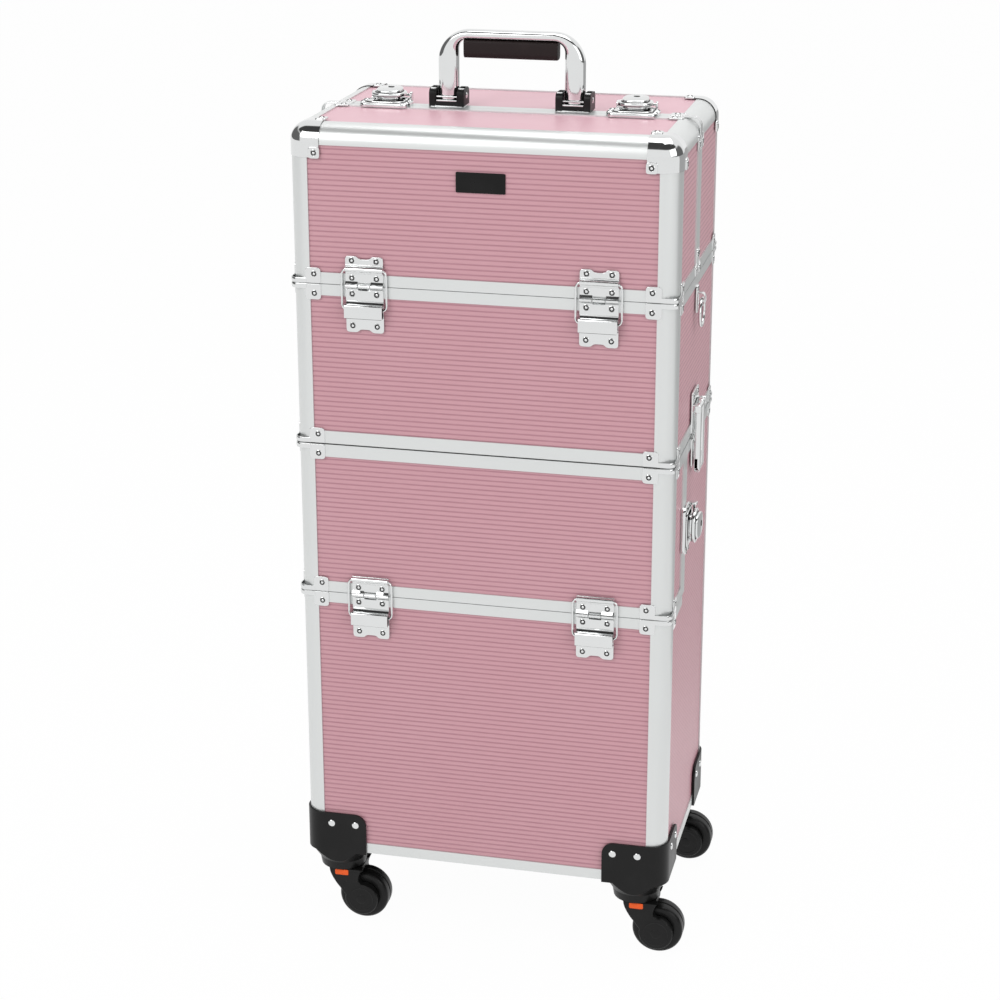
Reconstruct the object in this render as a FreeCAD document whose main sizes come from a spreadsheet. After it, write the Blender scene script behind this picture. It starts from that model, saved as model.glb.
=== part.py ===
import FreeCAD, Part
import os
import re

# Makeup train case: an upper case with a split lid on a wheeled lower case with a drop door.
# Frame: millimetres, +Z up, front faces -Y, origin on the floor under the middle of the case.

SIZES = {
    # Case body
    "case_width": 340.0,
    "case_depth": 225.0,
    "bin_height": 261.0,
    "door_height": 141.0,
    "upper_height": 146.0,
    "lid_height": 139.0,
    "joint_gap": 0.5,
    "lift_gap": 1.2,
    "seat_inset": 3.0,
    # Aluminium frame and the panels that slide into it
    "frame_wall": 1.2,
    "panel_thickness": 5.0,
    "corner_radius": 16.0,
    "corner_flange": 17.6,
    "panel_seat": 12.5,
    "rail_height": 10.0,
    "lift_rail": 11.5,
    "split_rail": 11.0,
    "lid_split": -6.0,
    "door_split": -46.0,
    # Pressed steel corner clips, corner caps and rivets
    "clip_wall": 0.8,
    "clip_band": 5.0,
    "clip_start": 13.5,
    "clip_reach": 27.5,
    "clip_height": 14.0,
    "cap_reach": 28.5,
    "rivet_radius": 2.3,
    "rivet_head": 1.1,
    # Stay hinges
    "hinge_inset": 67.0,
    "hinge_width": 34.0,
    "leaf_wall": 1.2,
    "knuckle_radius": 2.0,
    "knuckle_gap": 0.3,
    "knuckle_width": 11.0,
    "knuckle_relief": 2.6,
    "axis_out": 2.2,
    "pin_radius": 1.0,
    "pin_fit": 0.05,
    "leaf_up": 26.4,
    "door_leaf_up": 17.6,
    "leaf_down": 41.4,
    "roll_up": 15.0,
    "roll_radius": 2.3,
    "wire_radius": 1.0,
    "wire_width": 40.0,
    "wire_down": 21.0,
    "wire_out": 2.5,
    "pocket_top": 15.4,
    "pocket_height": 12.0,
    "pocket_depth": 5.6,
    "pocket_wall": 0.9,
    "rivet_row_top": 22.4,
    "rivet_row_rail": 7.0,
    "rivet_row_bottom": 35.5,
    "rivet_spread": 11.0,
    # Key latches on the lid split and on the door split
    "latch_inset": 59.0,
    "door_latch_up": 64.0,
    "latch_length": 46.0,
    "latch_front": 15.0,
    "latch_back": 24.0,
    "latch_base": 4.6,
    "latch_lift": 3.4,
    "latch_reach": 3.4,
    "latch_knob": 6.0,
    "latch_knob_length": 31.0,
    "latch_round": 10.3,
    "latch_pivot": 19.0,
    "latch_pin_radius": 1.5,
    "latch_lug": 3.0,
    # Side draw latches
    "draw_place": -4.0,
    "draw_width": 34.0,
    "draw_base_up": 40.0,
    "draw_base_wall": 1.6,
    "draw_pivot_up": 26.0,
    "draw_pivot_out": 6.0,
    "draw_lever_width": 26.0,
    "draw_lever_down": 34.0,
    "draw_lever_wall": 5.0,
    "draw_window": 8.6,
    "draw_keeper_down": 30.0,
    "draw_keeper_wall": 1.8,
    # Strap rings
    "ring_place": -4.0,
    "ring_down": 22.0,
    "ring_radius": 12.0,
    "ring_wire": 1.6,
    "ring_stand": 2.0,
    "ring_play": 0.75,
    "ring_tab_width": 12.0,
    "ring_tab_length": 26.0,
    # Name plate
    "plate_width": 43.0,
    "plate_height": 17.5,
    "plate_below_top": 44.0,
    "plate_wall": 1.4,
    # Carrying handle
    "handle_width": 132.0,
    "handle_rise": 57.0,
    "handle_leg": 18.2,
    "handle_bar": 8.7,
    "handle_depth": 15.0,
    "handle_corner": 30.0,
    "handle_inner_corner": 5.6,
    "handle_y": 5.6,
    "handle_pivot_up": 10.4,
    "handle_pin_radius": 2.5,
    "bracket_ear": 6.2,
    "bracket_depth": 22.0,
    "bracket_top": 7.0,
    "bracket_wall": 1.6,
    "side_play": 0.4,
    "grip_length": 84.0,
    "grip_height": 16.0,
    "grip_depth": 14.0,
    # Casters
    "caster_height": 75.5,
    "swivel_inset_x": 29.0,
    "swivel_inset_y": 21.5,
    "trail": 21.5,
    "wheel_radius": 23.5,
    "wheel_width": 21.0,
    "wheel_round": 4.0,
    "groove_depth": 1.6,
    "groove_width": 1.6,
    "axle_radius": 3.0,
    "axle_fit": 0.05,
    "arm_wall": 7.4,
    "arm_gap": 0.7,
    "arm_disc": 15.7,
    "arm_root": 11.0,
    "arm_lean": 4.0,
    "neck_radius": 19.2,
    "neck_height": 9.5,
    "stem_radius": 5.5,
    "stem_height": 14.0,
    "funnel_radius": 31.0,
    "funnel_height": 13.0,
    "socket_top_radius": 22.4,
    "socket_radius": 21.0,
    "socket_height": 8.0,
    "turn_gap": 0.4,
    "mount_reach": 58.0,
    "mount_rise": 38.6,
    "mount_wall": 2.0,
    "mount_floor": 1.5,
    "mount_round": 11.0,
    "mount_rivet": 3.2,
    "mount_rivet_up": 28.3,
    "mount_rivet_first": 25.0,
    "mount_rivet_second": 48.0,
    "button_width": 13.0,
    "button_height": 5.6,
    "button_depth": 6.0,
    "button_aside": 3.0,
    "button_out": 0.6,
    "button_play": 0.3,
    "button_room": 3.0,
}

# Levels and depths shared by several pieces
HALF_W = "(case_width / 2)"
HALF_D = "(case_depth / 2)"
BASE = "caster_height"
JOINT3 = "(caster_height + bin_height)"
JOINT2 = f"({JOINT3} + door_height)"
JOINT1 = f"({JOINT2} + upper_height)"
TOP = f"({JOINT1} + lid_height)"
WALL = "(2 * frame_wall + panel_thickness)"
SPARE = "1"
NEARLY = 0.01
AXES = "xyz"
TURNS = {
    "x": FreeCAD.Rotation(FreeCAD.Vector(0, 0, 1), FreeCAD.Vector(1, 0, 0)),
    "y": FreeCAD.Rotation(FreeCAD.Vector(0, 0, 1), FreeCAD.Vector(0, 1, 0)),
    "z": FreeCAD.Rotation(),
}
NORMALS = {"x": FreeCAD.Vector(1, 0, 0), "y": FreeCAD.Vector(0, 1, 0), "z": FreeCAD.Vector(0, 0, 1)}

doc = FreeCAD.newDocument("makeup_train_case")
sheet = doc.addObject("Spreadsheet::Sheet", "sizes")
for row, (alias, number) in enumerate(SIZES.items(), start=1):
    sheet.set(f"A{row}", alias)
    sheet.set(f"B{row}", str(number))
    sheet.setAlias(f"B{row}", alias)
doc.recompute()

nodes = []


def bound(text):
    """Return an expression with every size name pointing at its cell."""
    return re.sub(r"[a-z]\w*", lambda word: f"sizes.{word.group()}", str(text))


def value(text):
    """Return the present number of an expression."""
    return float(sheet.evalExpression(bound(text)))


def place(obj, spot):
    """Bind an object's position to three expressions."""
    for axis, text in zip(AXES, spot):
        obj.setExpression(f"Placement.Base.{axis}", bound(text))


def box(name, x, y, z):
    """Make a box from its low and high expression on each axis."""
    obj = doc.addObject("Part::Box", name)
    for prop, (low, high) in zip(("Length", "Width", "Height"), (x, y, z)):
        obj.setExpression(prop, bound(f"({high}) - ({low})"))
    place(obj, (x[0], y[0], z[0]))
    return obj


def brick(name, spans):
    """Make a box from a table of axis letter to low and high expression."""
    return box(name, spans["x"], spans["y"], spans["z"])


def rod(name, axis, spot, radius, span):
    """Make a cylinder along an axis; spot holds its place on the other two axes."""
    obj = doc.addObject("Part::Cylinder", name)
    obj.Placement = FreeCAD.Placement(FreeCAD.Vector(), TURNS[axis])
    obj.setExpression("Radius", bound(radius))
    obj.setExpression("Height", bound(f"({span[1]}) - ({span[0]})"))
    place(obj, [span[0] if letter == axis else spot[letter] for letter in AXES])
    return obj


def taper(name, spot, low_radius, high_radius, span):
    """Make an upright cone frustum."""
    obj = doc.addObject("Part::Cone", name)
    obj.setExpression("Radius1", bound(low_radius))
    obj.setExpression("Radius2", bound(high_radius))
    obj.setExpression("Height", bound(f"({span[1]}) - ({span[0]})"))
    place(obj, (spot["x"], spot["y"], span[0]))
    return obj


def cut(name, base, *tools):
    """Take each tool away from the base in turn."""
    for tool in tools:
        obj = doc.addObject("Part::Cut", name)
        obj.Base = base
        obj.Tool = tool
        base = obj
    return base


def fuse(name, *shapes):
    """Join shapes into one solid."""
    obj = doc.addObject("Part::MultiFuse", name)
    obj.Shapes = list(shapes)
    obj.Refine = True
    return obj


def mirror(name, source, axis):
    """Mirror a piece across the middle plane square to an axis."""
    obj = doc.addObject("Part::Mirroring", name)
    obj.Source = source
    obj.Normal = NORMALS[axis]
    return obj


def both(name, source, axis="x"):
    """Return a piece and its mirror image."""
    return [source, mirror(f"{name}_twin", source, axis)]


def four(name, source):
    """Return a piece and its images in all four quarters."""
    pair = both(name, source)
    return pair + [mirror(f"{name}_rear", piece, "y") for piece in pair]


def fillet(name, base, radius, chosen):
    """Round the edges that a test picks."""
    doc.recompute()
    size = value(radius)
    obj = doc.addObject("Part::Fillet", name)
    obj.Base = base
    obj.Edges = [(i, size, size) for i, edge in enumerate(base.Shape.Edges, start=1) if chosen(edge)]
    return obj


def runs(edge, axis):
    """Tell whether an edge is straight and runs along an axis."""
    if not isinstance(edge.Curve, Part.Line):
        return False
    return edge.Curve.Direction.cross(NORMALS[axis]).Length < NEARLY


def node(name, *pieces):
    """Register a sub-part: one solid, or a group of separate solids."""
    if len(pieces) == 1:
        obj = pieces[0]
    else:
        obj = doc.addObject("Part::Compound", f"{name}_group")
        obj.Links = list(pieces)
    obj.Label = name
    nodes.append(obj)
    return obj


def inset(corner, inward, near, far):
    """Return the span from near to far, counted inward from a corner."""
    if inward > 0:
        return (f"{corner} + ({near})", f"{corner} + ({far})")
    return (f"{corner} - ({far})", f"{corner} - ({near})")


def step(side, distance):
    """Return the place at a distance inward from a side."""
    corner, inward = side
    return f"{corner} + {inward} * ({distance})"


LEFT = (f"-{HALF_W}", 1)
FRONT = (f"-{HALF_D}", 1)
REAR = (HALF_D, -1)
CEILING = (TOP, -1)


def rounded_corner(name, axis, sides, span, reach, radius, out="0"):
    """Make a square bar with its outer edge rounded, grown outward by a wall."""
    (one, (corner_one, in_one)), (two, (corner_two, in_two)) = sides.items()
    square = brick(name, {
        one: inset(corner_one, in_one, f"-({out})", reach),
        two: inset(corner_two, in_two, f"-({out})", reach),
        axis: span,
    })
    waste = brick(f"{name}_waste", {
        one: inset(corner_one, in_one, f"-({out}) - {SPARE}", radius),
        two: inset(corner_two, in_two, f"-({out}) - {SPARE}", radius),
        axis: (f"{span[0]} - {SPARE}", f"{span[1]} + {SPARE}"),
    })
    centre = {
        one: inset(corner_one, in_one, radius, radius)[0],
        two: inset(corner_two, in_two, radius, radius)[0],
    }
    keep = rod(f"{name}_round", axis, centre, f"{radius} + {out}",
               (f"{span[0]} - 2 * {SPARE}", f"{span[1]} + 2 * {SPARE}"))
    return cut(f"{name}_rounded", square, cut(f"{name}_corner", waste, keep))


def corner_bar(name, axis, sides, span):
    """Make a rounded corner extrusion with a slot for the panel on each side."""
    (one, (corner_one, in_one)), (two, (corner_two, in_two)) = sides.items()
    bar = rounded_corner(name, axis, sides, span, "corner_flange", "corner_radius")
    past = (f"{span[0]} - {SPARE}", f"{span[1]} + {SPARE}")
    sheet_span = ("frame_wall", "frame_wall + panel_thickness")
    slot_span = ("panel_seat", f"corner_flange + {SPARE}")
    open_span = (WALL, f"corner_flange + {SPARE}")
    tools = []
    for part, near_one, near_two in (("slot_one", slot_span, sheet_span),
                                     ("slot_two", sheet_span, slot_span),
                                     ("inside", open_span, open_span)):
        tools.append(brick(f"{name}_{part}", {
            one: inset(corner_one, in_one, *near_one),
            two: inset(corner_two, in_two, *near_two),
            axis: past,
        }))
    return cut(f"{name}_bar", bar, *tools)


def rail(name, run_axis, run, face, edge, height):
    """Make a U-shaped edge rail.

    face is (axis, outer face, inward sign); edge is (axis, outer edge, inward sign).
    """
    face_axis, face_at, face_in = face
    edge_axis, edge_at, edge_in = edge
    body = brick(name, {
        run_axis: run,
        face_axis: inset(face_at, face_in, "0", WALL),
        edge_axis: inset(edge_at, edge_in, "0", height),
    })
    slot = brick(f"{name}_slot", {
        run_axis: (f"{run[0]} - {SPARE}", f"{run[1]} + {SPARE}"),
        face_axis: inset(face_at, face_in, "frame_wall", "frame_wall + panel_thickness"),
        edge_axis: inset(edge_at, edge_in, "frame_wall", f"{height} + {SPARE}"),
    })
    return cut(f"{name}_rail", body, slot)


def panel(name, spans, face):
    """Make a flat panel whose outer face lies one frame wall behind the frame's face."""
    face_axis, face_at, face_in = face
    return brick(name, {
        **spans,
        face_axis: inset(face_at, face_in, "frame_wall", "frame_wall + panel_thickness"),
    })


def clip(name, axis, sides, start, way):
    """Make a pressed corner clip: a band round the frame's corner with a plate on each face."""
    (one, (corner_one, in_one)), (two, (corner_two, in_two)) = sides.items()
    band_end = f"{start} + {way} * clip_band"
    plate_end = f"{start} + {way} * clip_height"
    band_span = (start, band_end) if way > 0 else (band_end, start)
    plate_span = (start, plate_end) if way > 0 else (plate_end, start)
    outer = rounded_corner(f"{name}_outer", axis, sides, band_span, f"clip_start + {SPARE}",
                           "corner_radius", "clip_wall")
    inner = rounded_corner(f"{name}_inner", axis, sides,
                           (f"{band_span[0]} - 3 * {SPARE}", f"{band_span[1]} + 3 * {SPARE}"),
                           "clip_reach", "corner_radius")
    band = cut(f"{name}_band", outer, inner)
    plates = []
    for along, across in ((one, two), (two, one)):
        plates.append(brick(f"{name}_plate_{along}", {
            along: inset(*sides[along], "clip_start", "clip_reach"),
            across: inset(*sides[across], "-clip_wall", "0"),
            axis: plate_span,
        }))
    return fuse(f"{name}_clip", band, *plates)


def clip_rivets(name, axis, sides, start, way):
    """Make the two rivet heads of a corner clip."""
    one, two = sides
    middle = f"{start} + {way} * (clip_height - 2 * rivet_radius - clip_wall)"
    heads = []
    for along, across in ((one, two), (two, one)):
        spot = {along: step(sides[along], "clip_reach - 2 * rivet_radius - clip_wall"), axis: middle}
        heads.append(rod(f"{name}_head_{along}", across, spot, "rivet_radius",
                         inset(*sides[across], "-clip_wall - rivet_head", "-clip_wall")))
    return heads


def mirrored(name, pieces, axis):
    """Return mirror images of a list of pieces."""
    return [mirror(f"{name}_image", piece, axis) for piece in pieces]


# Shared edges of the tiers
BIN_TOP = f"({JOINT3} - joint_gap / 2)"
DOOR_LOW = f"({JOINT3} + joint_gap / 2)"
LOWER_TOP = f"({JOINT2} - lift_gap / 2)"
UPPER_LOW = f"({JOINT2} + lift_gap / 2)"
UPPER_TOP = f"({JOINT1} - joint_gap / 2)"
LID_LOW = f"({JOINT1} + joint_gap / 2)"
FRONT_EDGE = "(lid_split - joint_gap / 2)"
REAR_EDGE = "(lid_split + joint_gap / 2)"
DOOR_EDGE = "(door_split - joint_gap / 2)"
CASE_EDGE = "(door_split + joint_gap / 2)"
BETWEEN_X = (step(LEFT, "corner_flange"), f"{HALF_W} - corner_flange")
BETWEEN_Y = (step(FRONT, "corner_flange"), step(REAR, "corner_flange"))
SEAT_X = (step(LEFT, "panel_seat"), f"{HALF_W} - panel_seat")
SEAT_Y = (step(FRONT, "panel_seat"), step(REAR, "panel_seat"))
INSIDE_X = (step(LEFT, WALL), f"{HALF_W} - {WALL}")
INSIDE_Y = (step(FRONT, WALL), step(REAR, WALL))
FRONT_FACE = ("y", *FRONT)
REAR_FACE = ("y", *REAR)
LEFT_FACE = ("x", *LEFT)
TOP_FACE = ("z", *CEILING)


def tier_floor(name, low):
    """Make the floor board of a case, let in between the frame's inner walls."""
    return box(name, INSIDE_X, INSIDE_Y, (low, f"{low} + panel_thickness"))


def lower_case():
    """Make the wheeled lower case, notched at its upper front for the door."""
    height = (f"{BASE} + frame_wall", f"{BIN_TOP} - frame_wall")
    full_height = (f"{BASE} + frame_wall", f"{LOWER_TOP} - frame_wall")
    front = panel("lower_front", {"x": SEAT_X, "z": height}, FRONT_FACE)
    rear = panel("lower_rear", {"x": SEAT_X, "z": full_height}, REAR_FACE)
    side = panel("lower_side", {"y": SEAT_Y, "z": full_height}, LEFT_FACE)
    notch = box("lower_side_notch", (f"-{HALF_W}", f"-{HALF_W} + {WALL}"),
                (f"-{HALF_D}", f"{CASE_EDGE} + frame_wall"), (height[1], TOP))
    sides = both("lower_side", cut("lower_side_notched", side, notch))
    node("lower_panels", front, rear, *sides, tier_floor("lower_floor", BASE))

    bottom = ("z", BASE, 1)
    middle = ("z", BIN_TOP, -1)
    rim = ("z", LOWER_TOP, -1)
    bars = both("front_column", corner_bar("front_column", "z", {"x": LEFT, "y": FRONT}, (BASE, BIN_TOP)))
    bars += both("rear_column", corner_bar("rear_column", "z", {"x": LEFT, "y": REAR}, (BASE, LOWER_TOP)))
    bars.append(rail("base_front", "x", BETWEEN_X, FRONT_FACE, bottom, "rail_height"))
    bars.append(rail("base_rear", "x", BETWEEN_X, REAR_FACE, bottom, "rail_height"))
    bars += both("base_side", rail("base_side", "y", BETWEEN_Y, LEFT_FACE, bottom, "rail_height"))
    bars.append(rail("sill_front", "x", BETWEEN_X, FRONT_FACE, middle, "rail_height"))
    sill_run = (BETWEEN_Y[0], CASE_EDGE)
    bars += both("sill_side", rail("sill_side", "y", sill_run, LEFT_FACE, middle, "rail_height"))
    jamb_run = (f"{BIN_TOP} - frame_wall", f"{LOWER_TOP} - lift_rail")
    bars += both("jamb", rail("jamb", "z", jamb_run, LEFT_FACE, ("y", CASE_EDGE, 1), "split_rail"))
    bars.append(rail("rim_rear", "x", BETWEEN_X, REAR_FACE, rim, "lift_rail"))
    bars += both("rim_side", rail("rim_side", "y", (CASE_EDGE, BETWEEN_Y[1]), LEFT_FACE, rim, "lift_rail"))
    node("lower_frame", *bars)

    sill = {"x": LEFT, "y": FRONT}
    back = {"x": LEFT, "y": REAR}
    pieces = [clip("sill_clip", "z", sill, BIN_TOP, -1), *clip_rivets("sill_clip", "z", sill, BIN_TOP, -1)]
    pieces += [clip("rim_clip", "z", back, LOWER_TOP, -1), *clip_rivets("rim_clip", "z", back, LOWER_TOP, -1)]
    node("lower_clips", *pieces, *mirrored("lower_clips", pieces, "x"))


def door():
    """Make the drop door: the upper front of the lower case with its short cheeks."""
    height = (f"{DOOR_LOW} + frame_wall", f"{LOWER_TOP} - frame_wall")
    front = panel("door_front", {"x": SEAT_X, "z": height}, FRONT_FACE)
    cheek = panel("door_cheek", {"y": (SEAT_Y[0], f"{DOOR_EDGE} - frame_wall"), "z": height}, LEFT_FACE)
    node("door_panels", front, *both("door_cheek", cheek))

    low = ("z", DOOR_LOW, 1)
    rim = ("z", LOWER_TOP, -1)
    cheek_run = (BETWEEN_Y[0], DOOR_EDGE)
    bars = both("door_column", corner_bar("door_column", "z", {"x": LEFT, "y": FRONT}, (DOOR_LOW, LOWER_TOP)))
    bars.append(rail("door_low", "x", BETWEEN_X, FRONT_FACE, low, "rail_height"))
    bars.append(rail("door_rim", "x", BETWEEN_X, FRONT_FACE, rim, "lift_rail"))
    bars += both("door_side_low", rail("door_side_low", "y", cheek_run, LEFT_FACE, low, "rail_height"))
    bars += both("door_side_rim", rail("door_side_rim", "y", cheek_run, LEFT_FACE, rim, "lift_rail"))
    stile_run = (f"{DOOR_LOW} + rail_height", f"{LOWER_TOP} - lift_rail")
    stile_edge = ("y", DOOR_EDGE, -1)
    bars += both("door_stile", rail("door_stile", "z", stile_run, LEFT_FACE, stile_edge, "split_rail"))
    node("door_frame", *bars)

    corner = {"x": LEFT, "y": FRONT}
    pieces = []
    for name, start, way in (("door_low_clip", DOOR_LOW, 1), ("door_rim_clip", LOWER_TOP, -1)):
        pieces += [clip(name, "z", corner, start, way), *clip_rivets(name, "z", corner, start, way)]
    node("door_clips", *pieces, *mirrored("door_clips", pieces, "x"))


def upper_case():
    """Make the lift-off upper case."""
    height = (f"{UPPER_LOW} + frame_wall", f"{UPPER_TOP} - frame_wall")
    front = panel("upper_front", {"x": SEAT_X, "z": height}, FRONT_FACE)
    rear = panel("upper_rear", {"x": SEAT_X, "z": height}, REAR_FACE)
    side = panel("upper_side", {"y": SEAT_Y, "z": height}, LEFT_FACE)
    node("upper_panels", front, rear, *both("upper_side", side), tier_floor("upper_floor", UPPER_LOW))

    corner = {"x": LEFT, "y": FRONT}
    bars = four("upper_column", corner_bar("upper_column", "z", corner, (UPPER_LOW, UPPER_TOP)))
    for name, edge, tall in (("upper_low", ("z", UPPER_LOW, 1), "lift_rail"),
                             ("upper_rim", ("z", UPPER_TOP, -1), "rail_height")):
        bars += both(name, rail(f"{name}_front", "x", BETWEEN_X, FRONT_FACE, edge, tall), "y")
        bars += both(name, rail(f"{name}_side", "y", BETWEEN_Y, LEFT_FACE, edge, tall))
    seat = (LOWER_TOP, UPPER_LOW)
    seat_run = (CASE_EDGE, BETWEEN_Y[1])
    bars += both("seat_side", box("seat_side", inset(*LEFT, "seat_inset", WALL), seat_run, seat))
    bars.append(box("seat_rear", BETWEEN_X, inset(*REAR, "seat_inset", WALL), seat))
    node("upper_frame", *bars)

    pieces = []
    for name, start, way in (("upper_low_clip", UPPER_LOW, 1), ("upper_rim_clip", UPPER_TOP, -1)):
        pieces += [clip(name, "z", corner, start, way), *clip_rivets(name, "z", corner, start, way)]
    pieces += mirrored("upper_clips", pieces, "x")
    node("upper_clips", *pieces, *mirrored("upper_clips", pieces, "y"))


def corner_cap(name, side):
    """Make a pressed ball corner over the place where three rounded bars meet."""
    shells = []
    for part, out, reach in (("outer", "clip_wall", "cap_reach"), ("inner", "0", f"cap_reach + {SPARE}")):
        block = brick(f"{name}_{part}", {
            "x": inset(*LEFT, f"-{out}", reach),
            "y": inset(*side, f"-{out}", reach),
            "z": inset(*CEILING, f"-{out}", reach),
        })
        doc.recompute()
        apex = FreeCAD.Vector(value(step(LEFT, f"-{out}")), value(step(side, f"-{out}")),
                              value(step(CEILING, f"-{out}")))
        shells.append(fillet(f"{name}_{part}_ball", block, f"corner_radius + {out}",
                             lambda edge: any(v.Point.isEqual(apex, NEARLY) for v in edge.Vertexes)))
    return cut(f"{name}_cap", *shells)


def lid(name, side, edge, way):
    """Make one half of the split lid; way points from the split towards the half's own face."""
    face = ("y", *side)
    split = ("y", edge, way)
    height = (f"{LID_LOW} + frame_wall", step(CEILING, "panel_seat"))
    limits = (step(side, "panel_seat"), f"{edge} + {way} * frame_wall")
    depth = limits if way < 0 else limits[::-1]
    bars_run = (step(side, "corner_flange"), edge)
    run = bars_run if way < 0 else bars_run[::-1]
    front = panel(f"{name}_face", {"x": SEAT_X, "z": height}, face)
    cheek = panel(f"{name}_cheek", {"y": depth, "z": height}, LEFT_FACE)
    top = panel(f"{name}_top", {"x": SEAT_X, "y": depth}, TOP_FACE)
    node(f"{name}_panels", front, *both(f"{name}_cheek", cheek), top)

    low = ("z", LID_LOW, 1)
    upright = (LID_LOW, step(CEILING, "corner_flange"))
    bars = both(f"{name}_column", corner_bar(f"{name}_column", "z", {"x": LEFT, "y": side}, upright))
    bars.append(corner_bar(f"{name}_edge", "x", {"y": side, "z": CEILING}, BETWEEN_X))
    bars += both(f"{name}_shoulder", corner_bar(f"{name}_shoulder", "y", {"x": LEFT, "z": CEILING}, run))
    bars.append(rail(f"{name}_low", "x", BETWEEN_X, face, low, "rail_height"))
    bars += both(f"{name}_side_low", rail(f"{name}_side_low", "y", run, LEFT_FACE, low, "rail_height"))
    bars.append(rail(f"{name}_strip", "x", BETWEEN_X, TOP_FACE, split, "split_rail"))
    stile_run = (f"{LID_LOW} + rail_height", upright[1])
    bars += both(f"{name}_stile", rail(f"{name}_stile", "z", stile_run, LEFT_FACE, split, "split_rail"))
    node(f"{name}_frame", *bars)

    corner = {"x": LEFT, "y": side}
    shoulder = {"x": LEFT, "z": CEILING}
    node(f"{name}_caps", *both(f"{name}_cap", corner_cap(f"{name}_cap", side)))
    pieces = [clip(f"{name}_clip", "z", corner, LID_LOW, 1),
              *clip_rivets(f"{name}_clip", "z", corner, LID_LOW, 1)]
    pieces += [clip(f"{name}_band", "y", shoulder, edge, way),
               *clip_rivets(f"{name}_band", "y", shoulder, edge, way)]
    node(f"{name}_clips", *pieces, *mirrored(f"{name}_clips", pieces, "x"))


HINGE_X = f"-({HALF_W} - hinge_inset)"
HINGE_SPAN = (f"{HINGE_X} - hinge_width / 2", f"{HINGE_X} + hinge_width / 2")
LEAF_Y = (f"-{HALF_D} - leaf_wall", f"-{HALF_D}")
PIN_Y = f"-{HALF_D} - axis_out"
WIRE_Y = f"-{HALF_D} - wire_out"


def rivet_pair(name, level):
    """Make two rivet heads side by side on a hinge leaf."""
    heads = []
    for sign in (-1, 1):
        spot = {"x": f"{HINGE_X} + {sign} * rivet_spread", "z": level}
        heads.append(rod(name, "y", spot, "rivet_radius", (f"{LEAF_Y[0]} - rivet_head", LEAF_Y[0])))
    return heads


def knuckle(name, joint, span, way):
    """Make one hinge knuckle with the tongue that joins it to its leaf."""
    barrel = rod(f"{name}_barrel", "x", {"y": PIN_Y, "z": joint}, "knuckle_radius", span)
    reach = f"{joint} + {way} * (knuckle_relief + {SPARE})"
    tongue = box(f"{name}_tongue", span, LEAF_Y, (joint, reach) if way > 0 else (reach, joint))
    return [barrel, tongue]


def upper_leaf(name, joint, leaf_up, rows):
    """Make a hinge's upper leaf, with the roll that holds the stay wire, and its rivets."""
    plate = box(f"{name}_plate", HINGE_SPAN, LEAF_Y, (f"{joint} + knuckle_relief", f"{joint} + {leaf_up}"))
    half = "knuckle_width / 2 + knuckle_gap"
    left = knuckle(f"{name}_left", joint, (HINGE_SPAN[0], f"{HINGE_X} - ({half})"), 1)
    right = knuckle(f"{name}_right", joint, (f"{HINGE_X} + {half}", HINGE_SPAN[1]), 1)
    wire = {"y": WIRE_Y, "z": f"{joint} + roll_up"}
    roll = rod(f"{name}_roll", "x", wire, "roll_radius", HINGE_SPAN)
    wide = (f"{HINGE_SPAN[0]} - {SPARE}", f"{HINGE_SPAN[1]} + {SPARE}")
    pin_bore = rod(f"{name}_pin_bore", "x", {"y": PIN_Y, "z": joint}, "pin_radius + pin_fit", wide)
    wire_bore = rod(f"{name}_wire_bore", "x", wire, "wire_radius + pin_fit", wide)
    leaf = cut(f"{name}_leaf", fuse(f"{name}_blank", plate, *left, *right, roll), pin_bore, wire_bore)
    heads = [head for row in rows for head in rivet_pair(f"{name}_rivet", f"{joint} + {row}")]
    return [leaf, *heads]


def lower_leaf(name, joint):
    """Make a hinge's lower leaf, with the hood that the stay wire slides behind, its pin and rivets."""
    plate = box(f"{name}_plate", HINGE_SPAN, LEAF_Y, (f"{joint} - leaf_down", f"{joint} - knuckle_relief"))
    middle = knuckle(name, joint, (f"{HINGE_X} - knuckle_width / 2", f"{HINGE_X} + knuckle_width / 2"), -1)
    hood_y = (f"{LEAF_Y[0]} - pocket_depth - pocket_wall", f"{LEAF_Y[0]} - pocket_depth")
    hood_top = f"{joint} - pocket_top"
    hood = box(f"{name}_hood", HINGE_SPAN, hood_y, (f"{hood_top} - pocket_height", hood_top))
    web = box(f"{name}_web", HINGE_SPAN, (hood_y[0], LEAF_Y[0]), (f"{hood_top} - pocket_wall", hood_top))
    wide = (f"{HINGE_SPAN[0]} - {SPARE}", f"{HINGE_SPAN[1]} + {SPARE}")
    bore = rod(f"{name}_bore", "x", {"y": PIN_Y, "z": joint}, "pin_radius + pin_fit", wide)
    leaf = cut(f"{name}_leaf", fuse(f"{name}_blank", plate, *middle, hood, web), bore)
    pin = rod(f"{name}_pin", "x", {"y": PIN_Y, "z": joint}, "pin_radius", HINGE_SPAN)
    heads = rivet_pair(f"{name}_rivet", f"{joint} - rivet_row_rail")
    heads += rivet_pair(f"{name}_rivet", f"{joint} - rivet_row_bottom")
    return [leaf, pin, *heads]


def stay_wire(name, joint):
    """Make the rectangular wire stay of one hinge."""
    ends = (f"{HINGE_X} - wire_width / 2", f"{HINGE_X} + wire_width / 2")
    bar_run = (f"{ends[0]} - wire_radius", f"{ends[1]} + wire_radius")
    levels = (f"{joint} - wire_down", f"{joint} + roll_up")
    rods = [rod(f"{name}_bar", "x", {"y": WIRE_Y, "z": level}, "wire_radius", bar_run) for level in levels]
    rods += [rod(f"{name}_leg", "z", {"x": end, "y": WIRE_Y}, "wire_radius", levels) for end in ends]
    return fuse(f"{name}_loop", *rods)


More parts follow.
